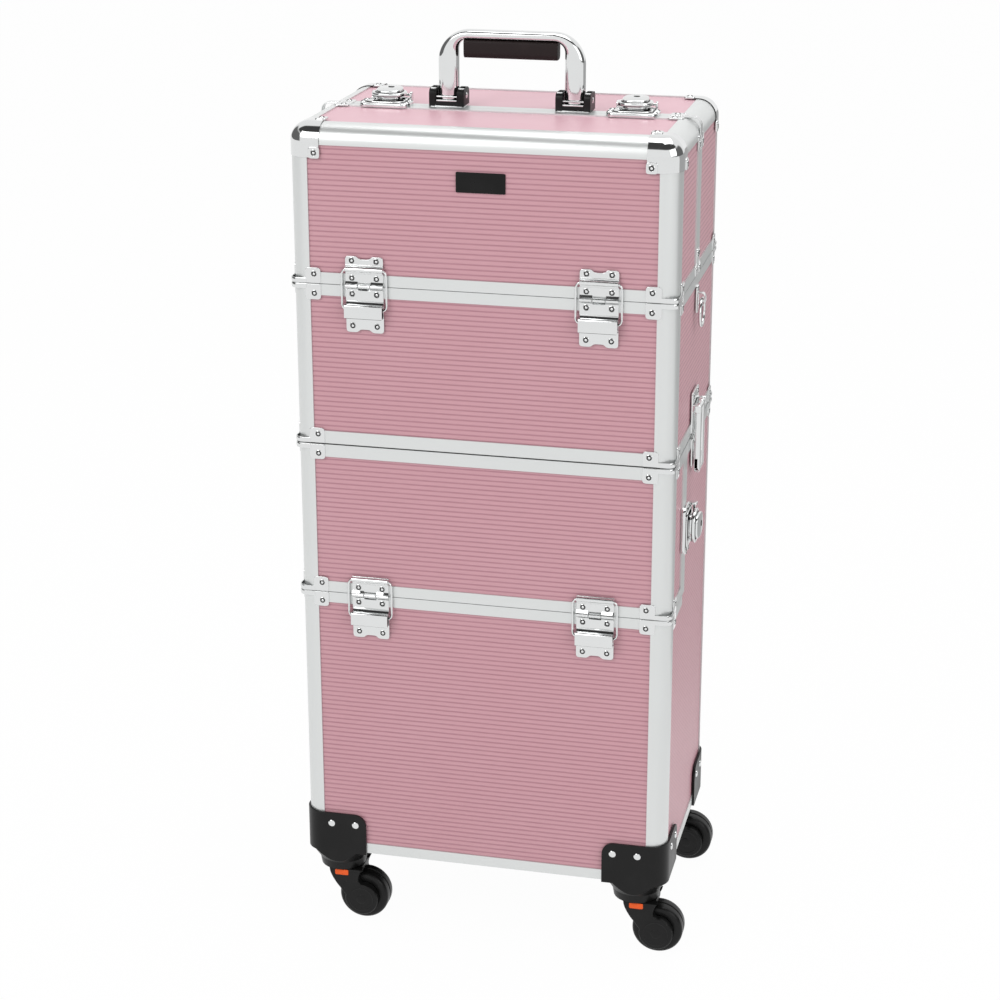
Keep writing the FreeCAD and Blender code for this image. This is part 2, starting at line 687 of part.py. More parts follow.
def hinges():
    """Make the stay hinges of both lid halves and of the door."""
    lid_rows = ("rivet_row_rail", "rivet_row_top")
    leaf = upper_leaf("lid_leaf", JOINT1, "leaf_up", lid_rows)
    front_leaves = leaf + mirrored("lid_leaf", leaf, "x")
    node("front_hinge_leaves", *front_leaves)
    node("rear_hinge_leaves", *mirrored("rear_leaf", front_leaves, "y"))
    lower = lower_leaf("lid_plate", JOINT1)
    lower += mirrored("lid_plate", lower, "x")
    node("upper_hinge_plates", *lower, *mirrored("rear_plate", lower, "y"))
    wires = both("lid_stay", stay_wire("lid_stay", JOINT1))
    node("front_stays", *wires)
    node("rear_stays", *mirrored("rear_stay", wires, "y"))

    leaf = upper_leaf("door_leaf", JOINT3, "door_leaf_up", ("rivet_row_rail",))
    node("door_hinge_leaves", *leaf, *mirrored("door_leaf", leaf, "x"))
    lower = lower_leaf("door_plate", JOINT3)
    node("door_hinge_plates", *lower, *mirrored("door_plate", lower, "x"))
    node("door_stays", *both("door_stay", stay_wire("door_stay", JOINT3)))


def key_latch(name, along, normal, spot, split):
    """Make a key latch across a split: its keeper, its base with lugs and pin, and its flap.

    along runs beside the split, normal is (axis, face, outward sign), spot is the middle on along.
    """
    face_axis, face, outward = normal

    def block(part, half, low, high, across):
        return brick(f"{name}_{part}", {
            along: (f"{spot} - ({half})", f"{spot} + ({half})"),
            "y": across,
            face_axis: inset(face, outward, low, high),
        })

    half = "latch_length / 2"
    keeper_y = (f"{split} - joint_gap / 2 - latch_front", f"{split} - joint_gap / 2")
    base_y = (f"{split} + joint_gap / 2", f"{split} + latch_back")
    keeper = block("keeper", half, "0", "latch_base", keeper_y)
    base = block("base", half, "0", "latch_base", base_y)
    low = "latch_base + latch_lift"
    pivot_up = f"{low} + latch_knob / 2"
    pivot = {"y": f"{split} + latch_pivot", face_axis: step((face, outward), pivot_up)}
    knob_half = "latch_knob_length / 2"
    lug_y = (f"{split} + latch_pivot - latch_lug", f"{split} + latch_pivot + latch_lug")
    wide = f"{knob_half} + side_play + latch_lug"
    lugs = block("lug", wide, "latch_base", f"{pivot_up} + latch_lug", lug_y)
    room = block("lug_room", f"{knob_half} + side_play", "latch_base", f"{pivot_up} + 2 * latch_lug", lug_y)
    knob_y = (f"{split} - latch_reach", f"{split} + latch_pivot + latch_lug")
    knob = block("knob", knob_half, low, f"{low} + latch_knob", knob_y)
    knob = fillet(f"{name}_knob_round", knob, "latch_round", lambda edge: runs(edge, face_axis))
    run = (f"{spot} - ({wide})", f"{spot} + ({wide})")
    pin = rod(f"{name}_pin", along, pivot, "latch_pin_radius", run)
    base = cut(f"{name}_base_bored", fuse(f"{name}_base_whole", base, cut(f"{name}_lugs", lugs, room)), pin)
    bore = rod(f"{name}_bore", along, pivot, "latch_pin_radius + pin_fit", run)
    flap = cut(f"{name}_flap", knob, bore)
    shown_pin = rod(f"{name}_axle", along, pivot, "latch_pin_radius", run)
    return keeper, base, shown_pin, flap


def latches():
    """Make the key latches of the lid and of the door."""
    spot = f"-({HALF_W} - latch_inset)"
    keeper, base, pin, flap = key_latch("top_latch", "x", ("z", TOP, 1), spot, "lid_split")
    node("front_latch_keepers", *both("top_keeper", keeper))
    node("top_latch_bases", *both("top_base", base), *both("top_pin", pin))
    node("top_latch_left", flap)
    node("top_latch_right", mirror("top_flap", flap, "x"))

    level = f"({JOINT3} + door_latch_up)"
    keeper, base, pin, flap = key_latch("door_latch", "z", ("x", f"-{HALF_W}", -1), level, "door_split")
    node("door_latch_keepers", *both("door_keeper", keeper))
    node("door_latch_bases", *both("door_base", base), *both("door_pin", pin))
    node("door_latch_left", flap)
    node("door_latch_right", mirror("door_flap", flap, "x"))


def draw_latches():
    """Make the draw latches on both sides that hold the upper case down."""
    outside = (f"-{HALF_W}", -1)
    half = "draw_width / 2"
    inner_half = "draw_lever_width / 2"
    middle = "draw_place"
    across = (f"{middle} - {half}", f"{middle} + {half}")
    inner = (f"{middle} - {inner_half}", f"{middle} + {inner_half}")
    room_y = (f"{inner[0]} - side_play", f"{inner[1]} + side_play")
    pivot_z = f"({JOINT2} + draw_pivot_up)"
    pivot = {"x": step(outside, "draw_pivot_out"), "z": pivot_z}
    lug_z = (f"{pivot_z} - latch_lug", f"{pivot_z} + latch_lug")
    base = box("draw_base", inset(*outside, "0", "draw_base_wall"), across,
               (f"{UPPER_LOW} + draw_base_wall", f"{UPPER_LOW} + draw_base_up"))
    lugs = box("draw_lug", inset(*outside, "0", "draw_pivot_out + latch_lug"), across, lug_z)
    room_x = inset(*outside, "draw_base_wall", "2 * draw_pivot_out + latch_lug")
    room = box("draw_room", room_x, room_y, lug_z)
    pin = rod("draw_pin", "y", pivot, "latch_pin_radius", across)
    base = cut("draw_base_bored", fuse("draw_base_whole", base, cut("draw_lugs", lugs, room)), pin)
    shown_pin = rod("draw_axle", "y", pivot, "latch_pin_radius", across)
    node("side_latch_bases", *both("draw_base", base), *both("draw_axle", shown_pin))

    lever_x = inset(*outside, "draw_pivot_out - draw_lever_wall / 2", "draw_pivot_out + draw_lever_wall / 2")
    lever = box("draw_lever", lever_x, inner, (f"{JOINT2} - draw_lever_down", f"{pivot_z} + latch_lug"))
    window = box("draw_window", inset(*outside, "0", "2 * draw_pivot_out + draw_lever_wall"),
                 (f"{middle} - draw_window / 2", f"{middle} + draw_window / 2"),
                 (f"{JOINT2} - draw_lever_down / 2", f"{pivot_z} - 2 * latch_lug"))
    bore = rod("draw_bore", "y", pivot, "latch_pin_radius + pin_fit", across)
    lever = cut("draw_lever_bored", lever, window, bore)
    node("side_latch_left", lever)
    node("side_latch_right", mirror("draw_lever_right", lever, "x"))
    keeper = box("draw_keeper", inset(*outside, "0", "draw_keeper_wall"), inner,
                 (f"{LOWER_TOP} - draw_keeper_down", f"{LOWER_TOP} - draw_keeper_wall"))
    node("side_latch_keepers", *both("draw_keeper", keeper))


def strap_rings():
    """Make the strap rings and the tabs that carry them on the sides of the upper case."""
    outside = (f"-{HALF_W}", -1)
    half = "ring_tab_width / 2"
    level = f"({UPPER_TOP} - ring_down)"
    hang_out = "leaf_wall + ring_wire + ring_stand"
    hang = {"x": step(outside, hang_out), "z": level}
    tab = box("ring_tab", inset(*outside, "0", "leaf_wall"), (f"ring_place - {half}", f"ring_place + {half}"),
              (f"{level} - ring_tab_length / 2", f"{level} + ring_tab_length / 2"))
    lug_y = ("ring_place - latch_lug", "ring_place + latch_lug")
    lug_z = (f"{level} - ring_wire - latch_lug", f"{level} + ring_wire + latch_lug")
    lug = box("ring_lug", inset(*outside, "0", f"{hang_out} + ring_wire + ring_stand"), lug_y, lug_z)
    bore = rod("ring_bore", "y", hang, "ring_wire + ring_play", lug_y)
    tab = cut("ring_tab_bored", fuse("ring_tab_whole", tab, lug), bore)
    node("ring_tabs", *both("ring_tab", tab))
    ring = doc.addObject("Part::Torus", "ring")
    ring.setExpression("Radius1", bound("ring_radius"))
    ring.setExpression("Radius2", bound("ring_wire"))
    ring.Placement = FreeCAD.Placement(FreeCAD.Vector(), TURNS["x"])
    place(ring, (hang["x"], "ring_place", f"{level} - ring_radius"))
    node("ring_left", ring)
    node("ring_right", mirror("ring_mirrored", ring, "x"))


def name_plate():
    """Make the plain black plate on the lid's face."""
    middle = f"({TOP} - plate_below_top)"
    face = step(FRONT, "frame_wall")
    node("name_plate", box("plate", ("-plate_width / 2", "plate_width / 2"), (f"{face} - plate_wall", face),
                           (f"{middle} - plate_height / 2", f"{middle} + plate_height / 2")))


def handle():
    """Make the bow handle, its grip and the brackets that it folds in."""
    pivot_z = f"({TOP} + handle_pivot_up)"
    pivot = {"y": "handle_y", "z": pivot_z}
    leg_out = "handle_width / 2"
    leg_in = "(handle_width / 2 - handle_leg)"
    deep = ("handle_y - handle_depth / 2", "handle_y + handle_depth / 2")
    top = f"{pivot_z} + handle_rise"
    outer = box("bow_outer", (f"-{leg_out}", leg_out), deep, (pivot_z, top))
    peak = value(top)
    outer = fillet("bow_outer_round", outer, "handle_corner",
                   lambda edge: runs(edge, "y") and edge.CenterOfMass.z > peak - NEARLY)
    bar_low = f"{top} - handle_bar"
    inner = box("bow_inner", (f"-{leg_in}", leg_in), (f"{deep[0]} - {SPARE}", f"{deep[1]} + {SPARE}"),
                (f"{pivot_z} - {SPARE}", bar_low))
    inner_peak = value(bar_low)
    inner = fillet("bow_inner_round", inner, "handle_inner_corner",
                   lambda edge: runs(edge, "y") and edge.CenterOfMass.z > inner_peak - NEARLY)
    feet = [rod("bow_foot", "x", pivot, "handle_depth / 2", span)
            for span in ((f"-{leg_out}", f"-{leg_in}"), (leg_in, leg_out))]
    bore = rod("bow_bore", "x", pivot, "handle_pin_radius + pin_fit",
               (f"-{leg_out} - {SPARE}", f"{leg_out} + {SPARE}"))
    node("handle_bow", cut("bow", fuse("bow_blank", cut("bow_arch", outer, inner), *feet), bore))
    node("handle_grip", box("grip", ("-grip_length / 2", "grip_length / 2"),
                            ("handle_y - grip_depth / 2", "handle_y + grip_depth / 2"),
                            (f"{bar_low} - grip_height", bar_low)))

    ear_in = (f"-{leg_out} - side_play", f"-{leg_in} + side_play")
    ear_out = (f"{ear_in[0]} - bracket_ear", f"{ear_in[1]} + bracket_ear")
    long = ("handle_y - bracket_depth / 2", "handle_y + bracket_depth / 2")
    block = box("bracket", ear_out, long, (TOP, f"{pivot_z} + bracket_top"))
    room = box("bracket_room", ear_in, (f"{long[0]} - {SPARE}", f"{long[1]} + {SPARE}"),
               (f"{TOP} + bracket_wall", f"{pivot_z} + 2 * bracket_top"))
    pin = rod("bracket_bore", "x", pivot, "handle_pin_radius", ear_out)
    bracket = cut("bracket_bored", block, room, pin)
    shown_pin = rod("bracket_pin", "x", pivot, "handle_pin_radius", ear_out)
    node("handle_brackets", *both("bracket", bracket), *both("bracket_pin", shown_pin))


SWIVEL_X = f"({HALF_W} - swivel_inset_x)"
SWIVEL_Y = f"({HALF_D} - swivel_inset_y)"
FUNNEL_LOW = f"({BASE} - funnel_height)"
SOCKET_LOW = f"({FUNNEL_LOW} - socket_height)"
NECK_TOP = f"({SOCKET_LOW} - turn_gap)"


def caster_mounts():
    """Make the moulded corner mounts with their caster sockets and rivets."""
    corner = {"x": LEFT, "y": FRONT}
    swivel = {"x": f"-{SWIVEL_X}", "y": f"-{SWIVEL_Y}"}
    outer = rounded_corner("mount_outer", "z", corner, (f"{BASE} - mount_floor", f"{BASE} + mount_rise"),
                           "mount_reach", "corner_radius", "mount_wall")
    inner = rounded_corner("mount_inner", "z", corner, (BASE, f"{BASE} + 2 * mount_rise"),
                           f"mount_reach + {SPARE}", "corner_radius")
    shell = cut("mount_shell", outer, inner)
    rim = value(f"{BASE} + mount_rise")
    wall = value("mount_wall")
    shell = fillet("mount_shell_round", shell, "mount_round",
                   lambda edge: (runs(edge, "x") or runs(edge, "y")) and abs(edge.Length - wall) < NEARLY
                   and edge.CenterOfMass.z > rim - NEARLY)
    foot = rounded_corner("mount_foot", "z", corner, (FUNNEL_LOW, BASE), "mount_reach", "corner_radius",
                          "mount_wall")
    funnel = doc.addObject("Part::Common", "mount_funnel")
    funnel.Base = taper("mount_cone", swivel, "socket_top_radius", "funnel_radius", (FUNNEL_LOW, BASE))
    funnel.Tool = foot
    socket = taper("mount_socket", swivel, "socket_radius", "socket_top_radius", (SOCKET_LOW, FUNNEL_LOW))
    bore = rod("mount_bore", "z", swivel, "stem_radius + axle_fit",
               (f"{SOCKET_LOW} - {SPARE}", f"{NECK_TOP} + stem_height + turn_gap"))
    whole = fuse("mount_whole", shell, funnel, socket)
    node("caster_mounts", *four("mount", cut("mount_bored", whole, bore)))

    heads = []
    for reach in ("mount_rivet_first", "mount_rivet_second"):
        for along, across in (("x", "y"), ("y", "x")):
            spot = {along: step(corner[along], reach), "z": f"{BASE} + mount_rivet_up"}
            heads.append(rod("mount_rivet", across, spot, "mount_rivet",
                             inset(*corner[across], "-mount_wall - rivet_head", "-mount_wall")))
    heads += mirrored("mount_rivets", heads, "x")
    node("mount_rivets", *heads, *mirrored("mount_rivets", heads, "y"))


def fork_arm(name, root, axle, span):
    """Make one fork arm: a plate round the root circle and the axle disc with tangent sides."""
    near, far = value("arm_root"), value("arm_disc")
    start = FreeCAD.Vector(value(root["x"]), value(span[0]), value(root["z"]))
    end = FreeCAD.Vector(value(axle["x"]), value(span[0]), value(axle["z"]))
    way = end - start
    lean = FreeCAD.Vector(way.x, 0, way.z).normalize()
    side = FreeCAD.Vector(-lean.z, 0, lean.x)
    slope = (near - far) / way.Length
    rise = (1 - slope * slope) ** 0.5
    over = lean * slope + side * rise
    under = lean * slope - side * rise
    edges = [
        Part.LineSegment(start + over * near, end + over * far).toShape(),
        Part.Arc(end + over * far, end + lean * far, end + under * far).toShape(),
        Part.LineSegment(end + under * far, start + under * near).toShape(),
        Part.Arc(start + under * near, start - lean * near, start + over * near).toShape(),
    ]
    face = Part.Face(Part.Wire(edges))
    obj = doc.addObject("Part::Feature", name)
    obj.Shape = face.extrude(FreeCAD.Vector(0, value(span[1]) - value(span[0]), 0))
    return obj


def caster(name, side_x, side_y):
    """Make one caster: its fork with stem and axle, its wheel and its release button."""
    swivel = {"x": f"({side_x} * {SWIVEL_X})", "y": f"({side_y} * {SWIVEL_Y})"}
    axle = {"x": f"({swivel['x']} + trail)", "z": "wheel_radius"}
    root = {"x": f"({swivel['x']} + arm_lean)", "z": f"({NECK_TOP} - arm_root - arm_gap)"}
    half = "(wheel_width / 2 + arm_gap)"
    outer = f"({half} + arm_wall)"
    arms = [fork_arm(f"{name}_arm", root, axle, span) for span in (
        (f"{swivel['y']} - {outer}", f"{swivel['y']} - {half}"),
        (f"{swivel['y']} + {half}", f"{swivel['y']} + {outer}"))]
    neck = rod(f"{name}_neck", "z", swivel, "neck_radius", (f"{NECK_TOP} - neck_height", NECK_TOP))
    stem = rod(f"{name}_stem", "z", swivel, "stem_radius",
               (f"{NECK_TOP} - {SPARE}", f"{NECK_TOP} + stem_height"))
    well = rod(f"{name}_well", "y", axle, "wheel_radius + 2 * arm_gap",
               (f"{swivel['y']} - {half}", f"{swivel['y']} + {half}"))
    bore_run = (f"{swivel['y']} - {outer}", f"{swivel['y']} + {outer}")
    bore = rod(f"{name}_axle_bore", "y", axle, "axle_radius", bore_run)
    button_middle = f"{swivel['x']} + button_aside"
    button_x = (f"{button_middle} - button_width / 2", f"{button_middle} + button_width / 2")
    button_top = f"({NECK_TOP} - turn_gap - button_play)"
    button_z = (f"{button_top} - button_height", button_top)
    face = f"({swivel['y']} - neck_radius)"
    pocket = box(f"{name}_pocket", (f"{button_x[0]} - button_play", f"{button_x[1]} + button_play"),
                 (f"{face} - {SPARE}", f"{face} + button_depth + button_room"),
                 (f"{button_z[0]} - button_play", f"{NECK_TOP} + {SPARE}"))
    lid_plate = rod(f"{name}_cover", "z", swivel, "neck_radius", (f"{NECK_TOP} - turn_gap", NECK_TOP))
    fork = cut(f"{name}_fork_cut", fuse(f"{name}_fork_blank", neck, *arms), well, bore, pocket)
    fork = fuse(f"{name}_fork_whole", fork, lid_plate, stem)
    node(f"{name}_fork", fork, rod(f"{name}_axle", "y", axle, "axle_radius", bore_run))

    width = (f"{swivel['y']} - wheel_width / 2", f"{swivel['y']} + wheel_width / 2")
    tread = rod(f"{name}_tread", "y", axle, "wheel_radius", width)
    tread = fillet(f"{name}_tread_round", tread, "wheel_round",
                   lambda edge: isinstance(edge.Curve, Part.Circle))
    belt_run = (f"{swivel['y']} - groove_width / 2", f"{swivel['y']} + groove_width / 2")
    belt = cut(f"{name}_belt", rod(f"{name}_belt_outer", "y", axle, "wheel_radius + groove_depth", belt_run),
               rod(f"{name}_belt_inner", "y", axle, "wheel_radius - groove_depth", belt_run))
    hub_bore = rod(f"{name}_hub_bore", "y", axle, "axle_radius + axle_fit", width)
    node(f"{name}_wheel", cut(f"{name}_wheel_cut", tread, belt, hub_bore))

    button_y = (f"{face} - button_out", f"{face} + button_depth")
    blank = box(f"{name}_button_blank", button_x, button_y, button_z)
    round_face = rod(f"{name}_button_face", "z", swivel, "neck_radius + button_out", button_z)
    button = doc.addObject("Part::Common", f"{name}_button_round")
    button.Base = blank
    button.Tool = round_face
    node(f"{name}_button", button)


lower_case()
door()
upper_case()
lid("front_lid", FRONT, FRONT_EDGE, -1)
lid("rear_lid", REAR, REAR_EDGE, 1)
hinges()
latches()
draw_latches()
strap_rings()
name_plate()
handle()
caster_mounts()
for end, side_y in (("front", -1), ("rear", 1)):
    for hand, side_x in (("left", -1), ("right", 1)):
        caster(f"{end}_{hand}", side_x, side_y)

doc.recompute()
failed = [obj.Name for obj in doc.Objects if {"Invalid", "Error"} & set(obj.State)]
if failed:
    raise RuntimeError(f"these objects failed: {failed}")
for obj in nodes:
    if obj.Shape.isNull() or not obj.Shape.isValid() or not obj.Shape.Solids:
        raise RuntimeError(f"{obj.Label} has no valid solid")

os.makedirs("parts", exist_ok=True)
for obj in nodes:
    obj.Shape.exportStep(f"parts/{obj.Label}.step")
print(f"{len(nodes)} nodes, {sum(len(obj.Shape.Solids) for obj in nodes)} solids")
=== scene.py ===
"""Looks of the makeup train case: finishes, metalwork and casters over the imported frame."""
import logging
import math
from dataclasses import dataclass
from enum import Enum
from typing import Iterable, Optional, Sequence

import bmesh
import bpy
import numpy as np
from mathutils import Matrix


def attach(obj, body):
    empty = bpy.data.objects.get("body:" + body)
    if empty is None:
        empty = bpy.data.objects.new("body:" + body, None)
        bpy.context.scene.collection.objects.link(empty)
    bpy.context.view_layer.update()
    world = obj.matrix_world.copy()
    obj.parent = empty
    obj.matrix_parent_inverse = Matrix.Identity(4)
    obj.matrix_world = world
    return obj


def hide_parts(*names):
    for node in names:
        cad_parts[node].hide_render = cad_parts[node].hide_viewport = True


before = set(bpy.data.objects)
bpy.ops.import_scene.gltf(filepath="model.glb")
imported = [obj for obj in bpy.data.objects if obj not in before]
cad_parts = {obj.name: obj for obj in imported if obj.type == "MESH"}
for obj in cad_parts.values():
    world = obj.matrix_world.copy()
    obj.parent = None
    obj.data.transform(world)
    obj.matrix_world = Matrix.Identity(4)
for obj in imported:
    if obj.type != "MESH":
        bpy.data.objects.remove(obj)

log = logging.getLogger("train_case")
Array = np.ndarray
Vec = Sequence[float]
MM = 0.001
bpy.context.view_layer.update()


class Side(Enum):
    """Which half of the case a mirrored piece belongs to; the value is its sign on X."""

    LEFT = -1
    RIGHT = 1


class End(Enum):
    """Front or rear of the case; the value is its sign on Y."""

    FRONT = -1
    REAR = 1


@dataclass(frozen=True)
class CaseLevels:
    """Outer faces and joint levels of the case, in millimetres."""

    half_width: float = 170.0
    half_depth: float = 112.5
    base: float = 75.5
    door_joint: float = 336.5
    lift_joint: float = 477.5
    lid_joint: float = 623.5
    top: float = 762.5
    corner_radius: float = 16.0
    lid_split: float = -6.0
    door_split: float = -46.0
    joint_gap: float = 0.5
    lift_gap: float = 1.2


CASE = CaseLevels()


@dataclass
class Patch:
    """A piece of surface: its points in millimetres, its faces and the finish slot it shows."""

    points: Array
    faces: list[tuple[int, ...]]
    finish: int = 0

    def placed(self, origin: Vec, axes: Sequence[Vec]) -> "Patch":
        """Carry the patch from local axes to the case's axes, keeping its faces outward.

        Args:
            origin: where the local origin goes.
            axes: the three directions that the local axes take.

        Returns:
            The moved patch.
        """
        basis = np.array(axes, float)
        moved = self.points @ basis + np.array(origin, float)
        flip = np.linalg.det(basis) < 0
        faces = [face[::-1] for face in self.faces] if flip else self.faces
        return Patch(moved, faces, self.finish)

    def mirrored(self, axis: int) -> "Patch":
        """Return the mirror image across the middle plane square to an axis."""
        axes = np.eye(3)
        axes[axis, axis] = -1
        return self.placed((0, 0, 0), axes)

    def shown_as(self, finish: int) -> "Patch":
        """Return the patch with another finish slot."""
        return Patch(self.points, self.faces, finish)


def mirrored(patches: Iterable[Patch], axis: int) -> list[Patch]:
    """Return mirror images of patches."""
    return [patch.mirrored(axis) for patch in patches]


def placed(patches: Iterable[Patch], origin: Vec, axes: Sequence[Vec]) -> list[Patch]:
    """Carry several patches to one place."""
    return [patch.placed(origin, axes) for patch in patches]


def grid_faces(rows: int, columns: int, ring_rows: bool = False, ring_columns: bool = False) -> list[tuple]:
    """List the quads of a grid of points stored row by row.

    Args:
        rows: number of rows.
        columns: points in each row.
        ring_rows: whether the last row joins the first.
        ring_columns: whether the last column joins the first.

    Returns:
        Index quadruples.
    """
    row = np.arange(rows if ring_rows else rows - 1)[:, None]
    column = np.arange(columns if ring_columns else columns - 1)[None, :]
    after, beside = (row + 1) % rows, (column + 1) % columns
    quads = np.stack([row * columns + column, row * columns + beside,
                      after * columns + beside, after * columns + column], -1)
    return [tuple(quad) for quad in quads.reshape(-1, 4).tolist()]


def rounded(corners: Sequence[Vec], radius: float | Sequence[float], steps: int = 5, closed: bool = True) -> Array:
    """Round a polygon's corners: each becomes the quadratic curve between points a radius before and after it.

    Args:
        corners: points of the polygon, two or three numbers each.
        radius: how far from each corner its curve starts; one number or one for each corner.
        steps: points on each curve.
        closed: whether the last corner joins the first.

    Returns:
        The rounded line's points.
    """
    spots = np.array(corners, float)
    reach = np.broadcast_to(np.array(radius, float), (len(spots),)).copy()
    before, after = np.roll(spots, 1, 0) - spots, np.roll(spots, -1, 0) - spots
    if not closed:
        before[0], after[-1] = 0, 0
    size_before = np.linalg.norm(before, axis=1, keepdims=True)
    size_after = np.linalg.norm(after, axis=1, keepdims=True)
    reach = reach[:, None]
    start = spots + before / np.maximum(size_before, 1e-9) * np.minimum(reach, size_before * 0.499)
    stop = spots + after / np.maximum(size_after, 1e-9) * np.minimum(reach, size_after * 0.499)
    t = np.linspace(0, 1, steps)[None, :, None]
    curve = (1 - t) ** 2 * start[:, None] + 2 * t * (1 - t) * spots[:, None] + t ** 2 * stop[:, None]
    line = curve.reshape(-1, spots.shape[1])
    keep = np.linalg.norm(line - np.roll(line, 1, 0), axis=1) > 1e-4
    keep[0] = True
    return line[keep]


def curve_through(points: Sequence[Vec], steps: int = 6) -> Array:
    """Return a smooth open line through points.

    Each span is a Catmull-Rom cubic: its slope at a point is half the way between the point's neighbours.

    Args:
        points: the points in order.
        steps: samples on each span.

    Returns:
        An array of points that starts and ends on the given ones.
    """
    spots = np.asarray(points, float)
    slopes = np.gradient(spots, axis=0)
    t = np.linspace(0, 1, steps, endpoint=False)[:, None]
    spans = [(2 * t ** 3 - 3 * t ** 2 + 1) * a + (t ** 3 - 2 * t ** 2 + t) * da
             + (3 * t ** 2 - 2 * t ** 3) * b + (t ** 3 - t ** 2) * db
             for a, b, da, db in zip(spots[:-1], spots[1:], slopes[:-1], slopes[1:])]
    return np.concatenate([*spans, spots[-1:]])


def oval(width: float, length: float, power: float = 2.0, count: int = 28) -> Array:
    """Return a superellipse: |x / a| ** power + |y / b| ** power = 1."""
    turn = np.linspace(0, 2 * math.pi, count, endpoint=False)
    cos, sin = np.cos(turn), np.sin(turn)
    shape = np.stack([np.sign(cos) * np.abs(cos) ** (2 / power), np.sign(sin) * np.abs(sin) ** (2 / power)], -1)
    return shape * (width / 2, length / 2)


def inset_line(outline: Array, distance: float) -> Array:
    """Move a closed outline inward along the mitred mean of its neighbouring edges' normals."""
    edge = np.roll(outline, -1, 0) - outline
    edge /= np.maximum(np.linalg.norm(edge, axis=1, keepdims=True), 1e-9)
    normal = np.stack([-edge[:, 1], edge[:, 0]], -1)
    mean = normal + np.roll(normal, 1, 0)
    mean /= np.maximum(np.linalg.norm(mean, axis=1, keepdims=True), 1e-9)
    mitre = np.maximum((mean * normal).sum(1, keepdims=True), 0.5)
    area = (outline[:, 0] * np.roll(outline[:, 1], -1) - outline[:, 1] * np.roll(outline[:, 0], -1)).sum()
    return outline + mean / mitre * distance * (1 if area > 0 else -1)


def plate(outline: Array, low: float, high: float, rim: float = 0.3, steps: int = 3) -> Patch:
    """Make a flat plate with a rounded upper rim.

    The outline is carried up as rings; over the last rim of height each ring moves inward on a quarter circle.

    Args:
        outline: closed outline in the local u, v plane.
        low: height of the underside on w.
        high: height of the upper face on w.
        rim: radius of the rounded upper edge.
        steps: rings on the rounded edge.

    Returns:
        The closed plate.
    """
    area = (outline[:, 0] * np.roll(outline[:, 1], -1) - outline[:, 1] * np.roll(outline[:, 0], -1)).sum()
    line = outline if area > 0 else outline[::-1]
    turn = np.linspace(0, math.pi / 2, steps + 1)
    rings = [(0.0, low)] + [(rim * (1 - math.cos(a)), high - rim + rim * math.sin(a)) for a in turn]
    points = np.concatenate([np.column_stack([inset_line(line, move), np.full(len(line), level)])
                             for move, level in rings])
    count = len(line)
    faces = grid_faces(len(rings), count, ring_columns=True)
    faces.append(tuple(range(count))[::-1])
    faces.append(tuple(range(count * (len(rings) - 1), count * len(rings))))
    return Patch(points, faces)


def block(width: float, length: float, low: float, high: float, radius: float = 1.5, rim: float = 0.4,
          centre: Vec = (0, 0)) -> Patch:
    """Make a plate from a rectangle with rounded corners."""
    a, b = width / 2, length / 2
    outline = rounded([(-a, -b), (a, -b), (a, b), (-a, b)], radius) + np.array(centre)
    return plate(outline, low, high, rim)


def lathe(profile: Sequence[Vec], segments: int = 32) -> Patch:
    """Turn a profile of radius and height pairs about the local w axis."""
    line = np.array(profile, float)
    turn = np.linspace(0, 2 * math.pi, segments, endpoint=False)
    ring = np.stack([np.cos(turn), np.sin(turn)], -1)
    flat = line[:, None, :1] * ring[None]
    level = np.broadcast_to(line[:, None, 1:], flat.shape[:2] + (1,))
    points = np.concatenate([flat, level], -1).reshape(-1, 3)
    return Patch(points, grid_faces(len(line), segments, ring_columns=True))


def sweep(path: Array, normal: Vec, section: Array, closed: bool) -> Patch:
    """Carry a section along a flat path.

    At each point the section's first axis lies in the path's plane, square to the path, and its second
    axis lies along the plane's normal.

    Args:
        path: points of the path, three numbers each.
        normal: direction square to the path's plane.
        section: closed section, two numbers each.
        closed: whether the path is a loop.

    Returns:
        The swept surface, capped where the path is open.
    """
    up = np.array(normal, float)
    ahead = np.roll(path, -1, 0) - np.roll(path, 1, 0)
    if not closed:
        ahead[0], ahead[-1] = path[1] - path[0], path[-1] - path[-2]
    ahead /= np.linalg.norm(ahead, axis=1, keepdims=True)
    across = np.cross(ahead, up)
    points = path[:, None] + across[:, None] * section[None, :, :1] + up[None, None] * section[None, :, 1:]
    count = len(section)
    faces = grid_faces(len(path), count, ring_rows=closed, ring_columns=True)
    if not closed:
        faces.append(tuple(range(count))[::-1])
        faces.append(tuple(range(count * (len(path) - 1), count * len(path))))
    return Patch(points.reshape(-1, 3), faces)


def wire(path: Array, normal: Vec, radius: float, closed: bool, count: int = 12) -> Patch:
    """Make a round wire along a flat path."""
    return sweep(path, normal, oval(2 * radius, 2 * radius, count=count), closed)


UPRIGHT = ((1, 0, 0), (0, 1, 0), (0, 0, 1))
FACING_FRONT = ((1, 0, 0), (0, 0, 1), (0, -1, 0))
FACING_LEFT = ((0, -1, 0), (0, 0, 1), (-1, 0, 0))
ALONG_X = ((0, 1, 0), (0, 0, 1), (1, 0, 0))


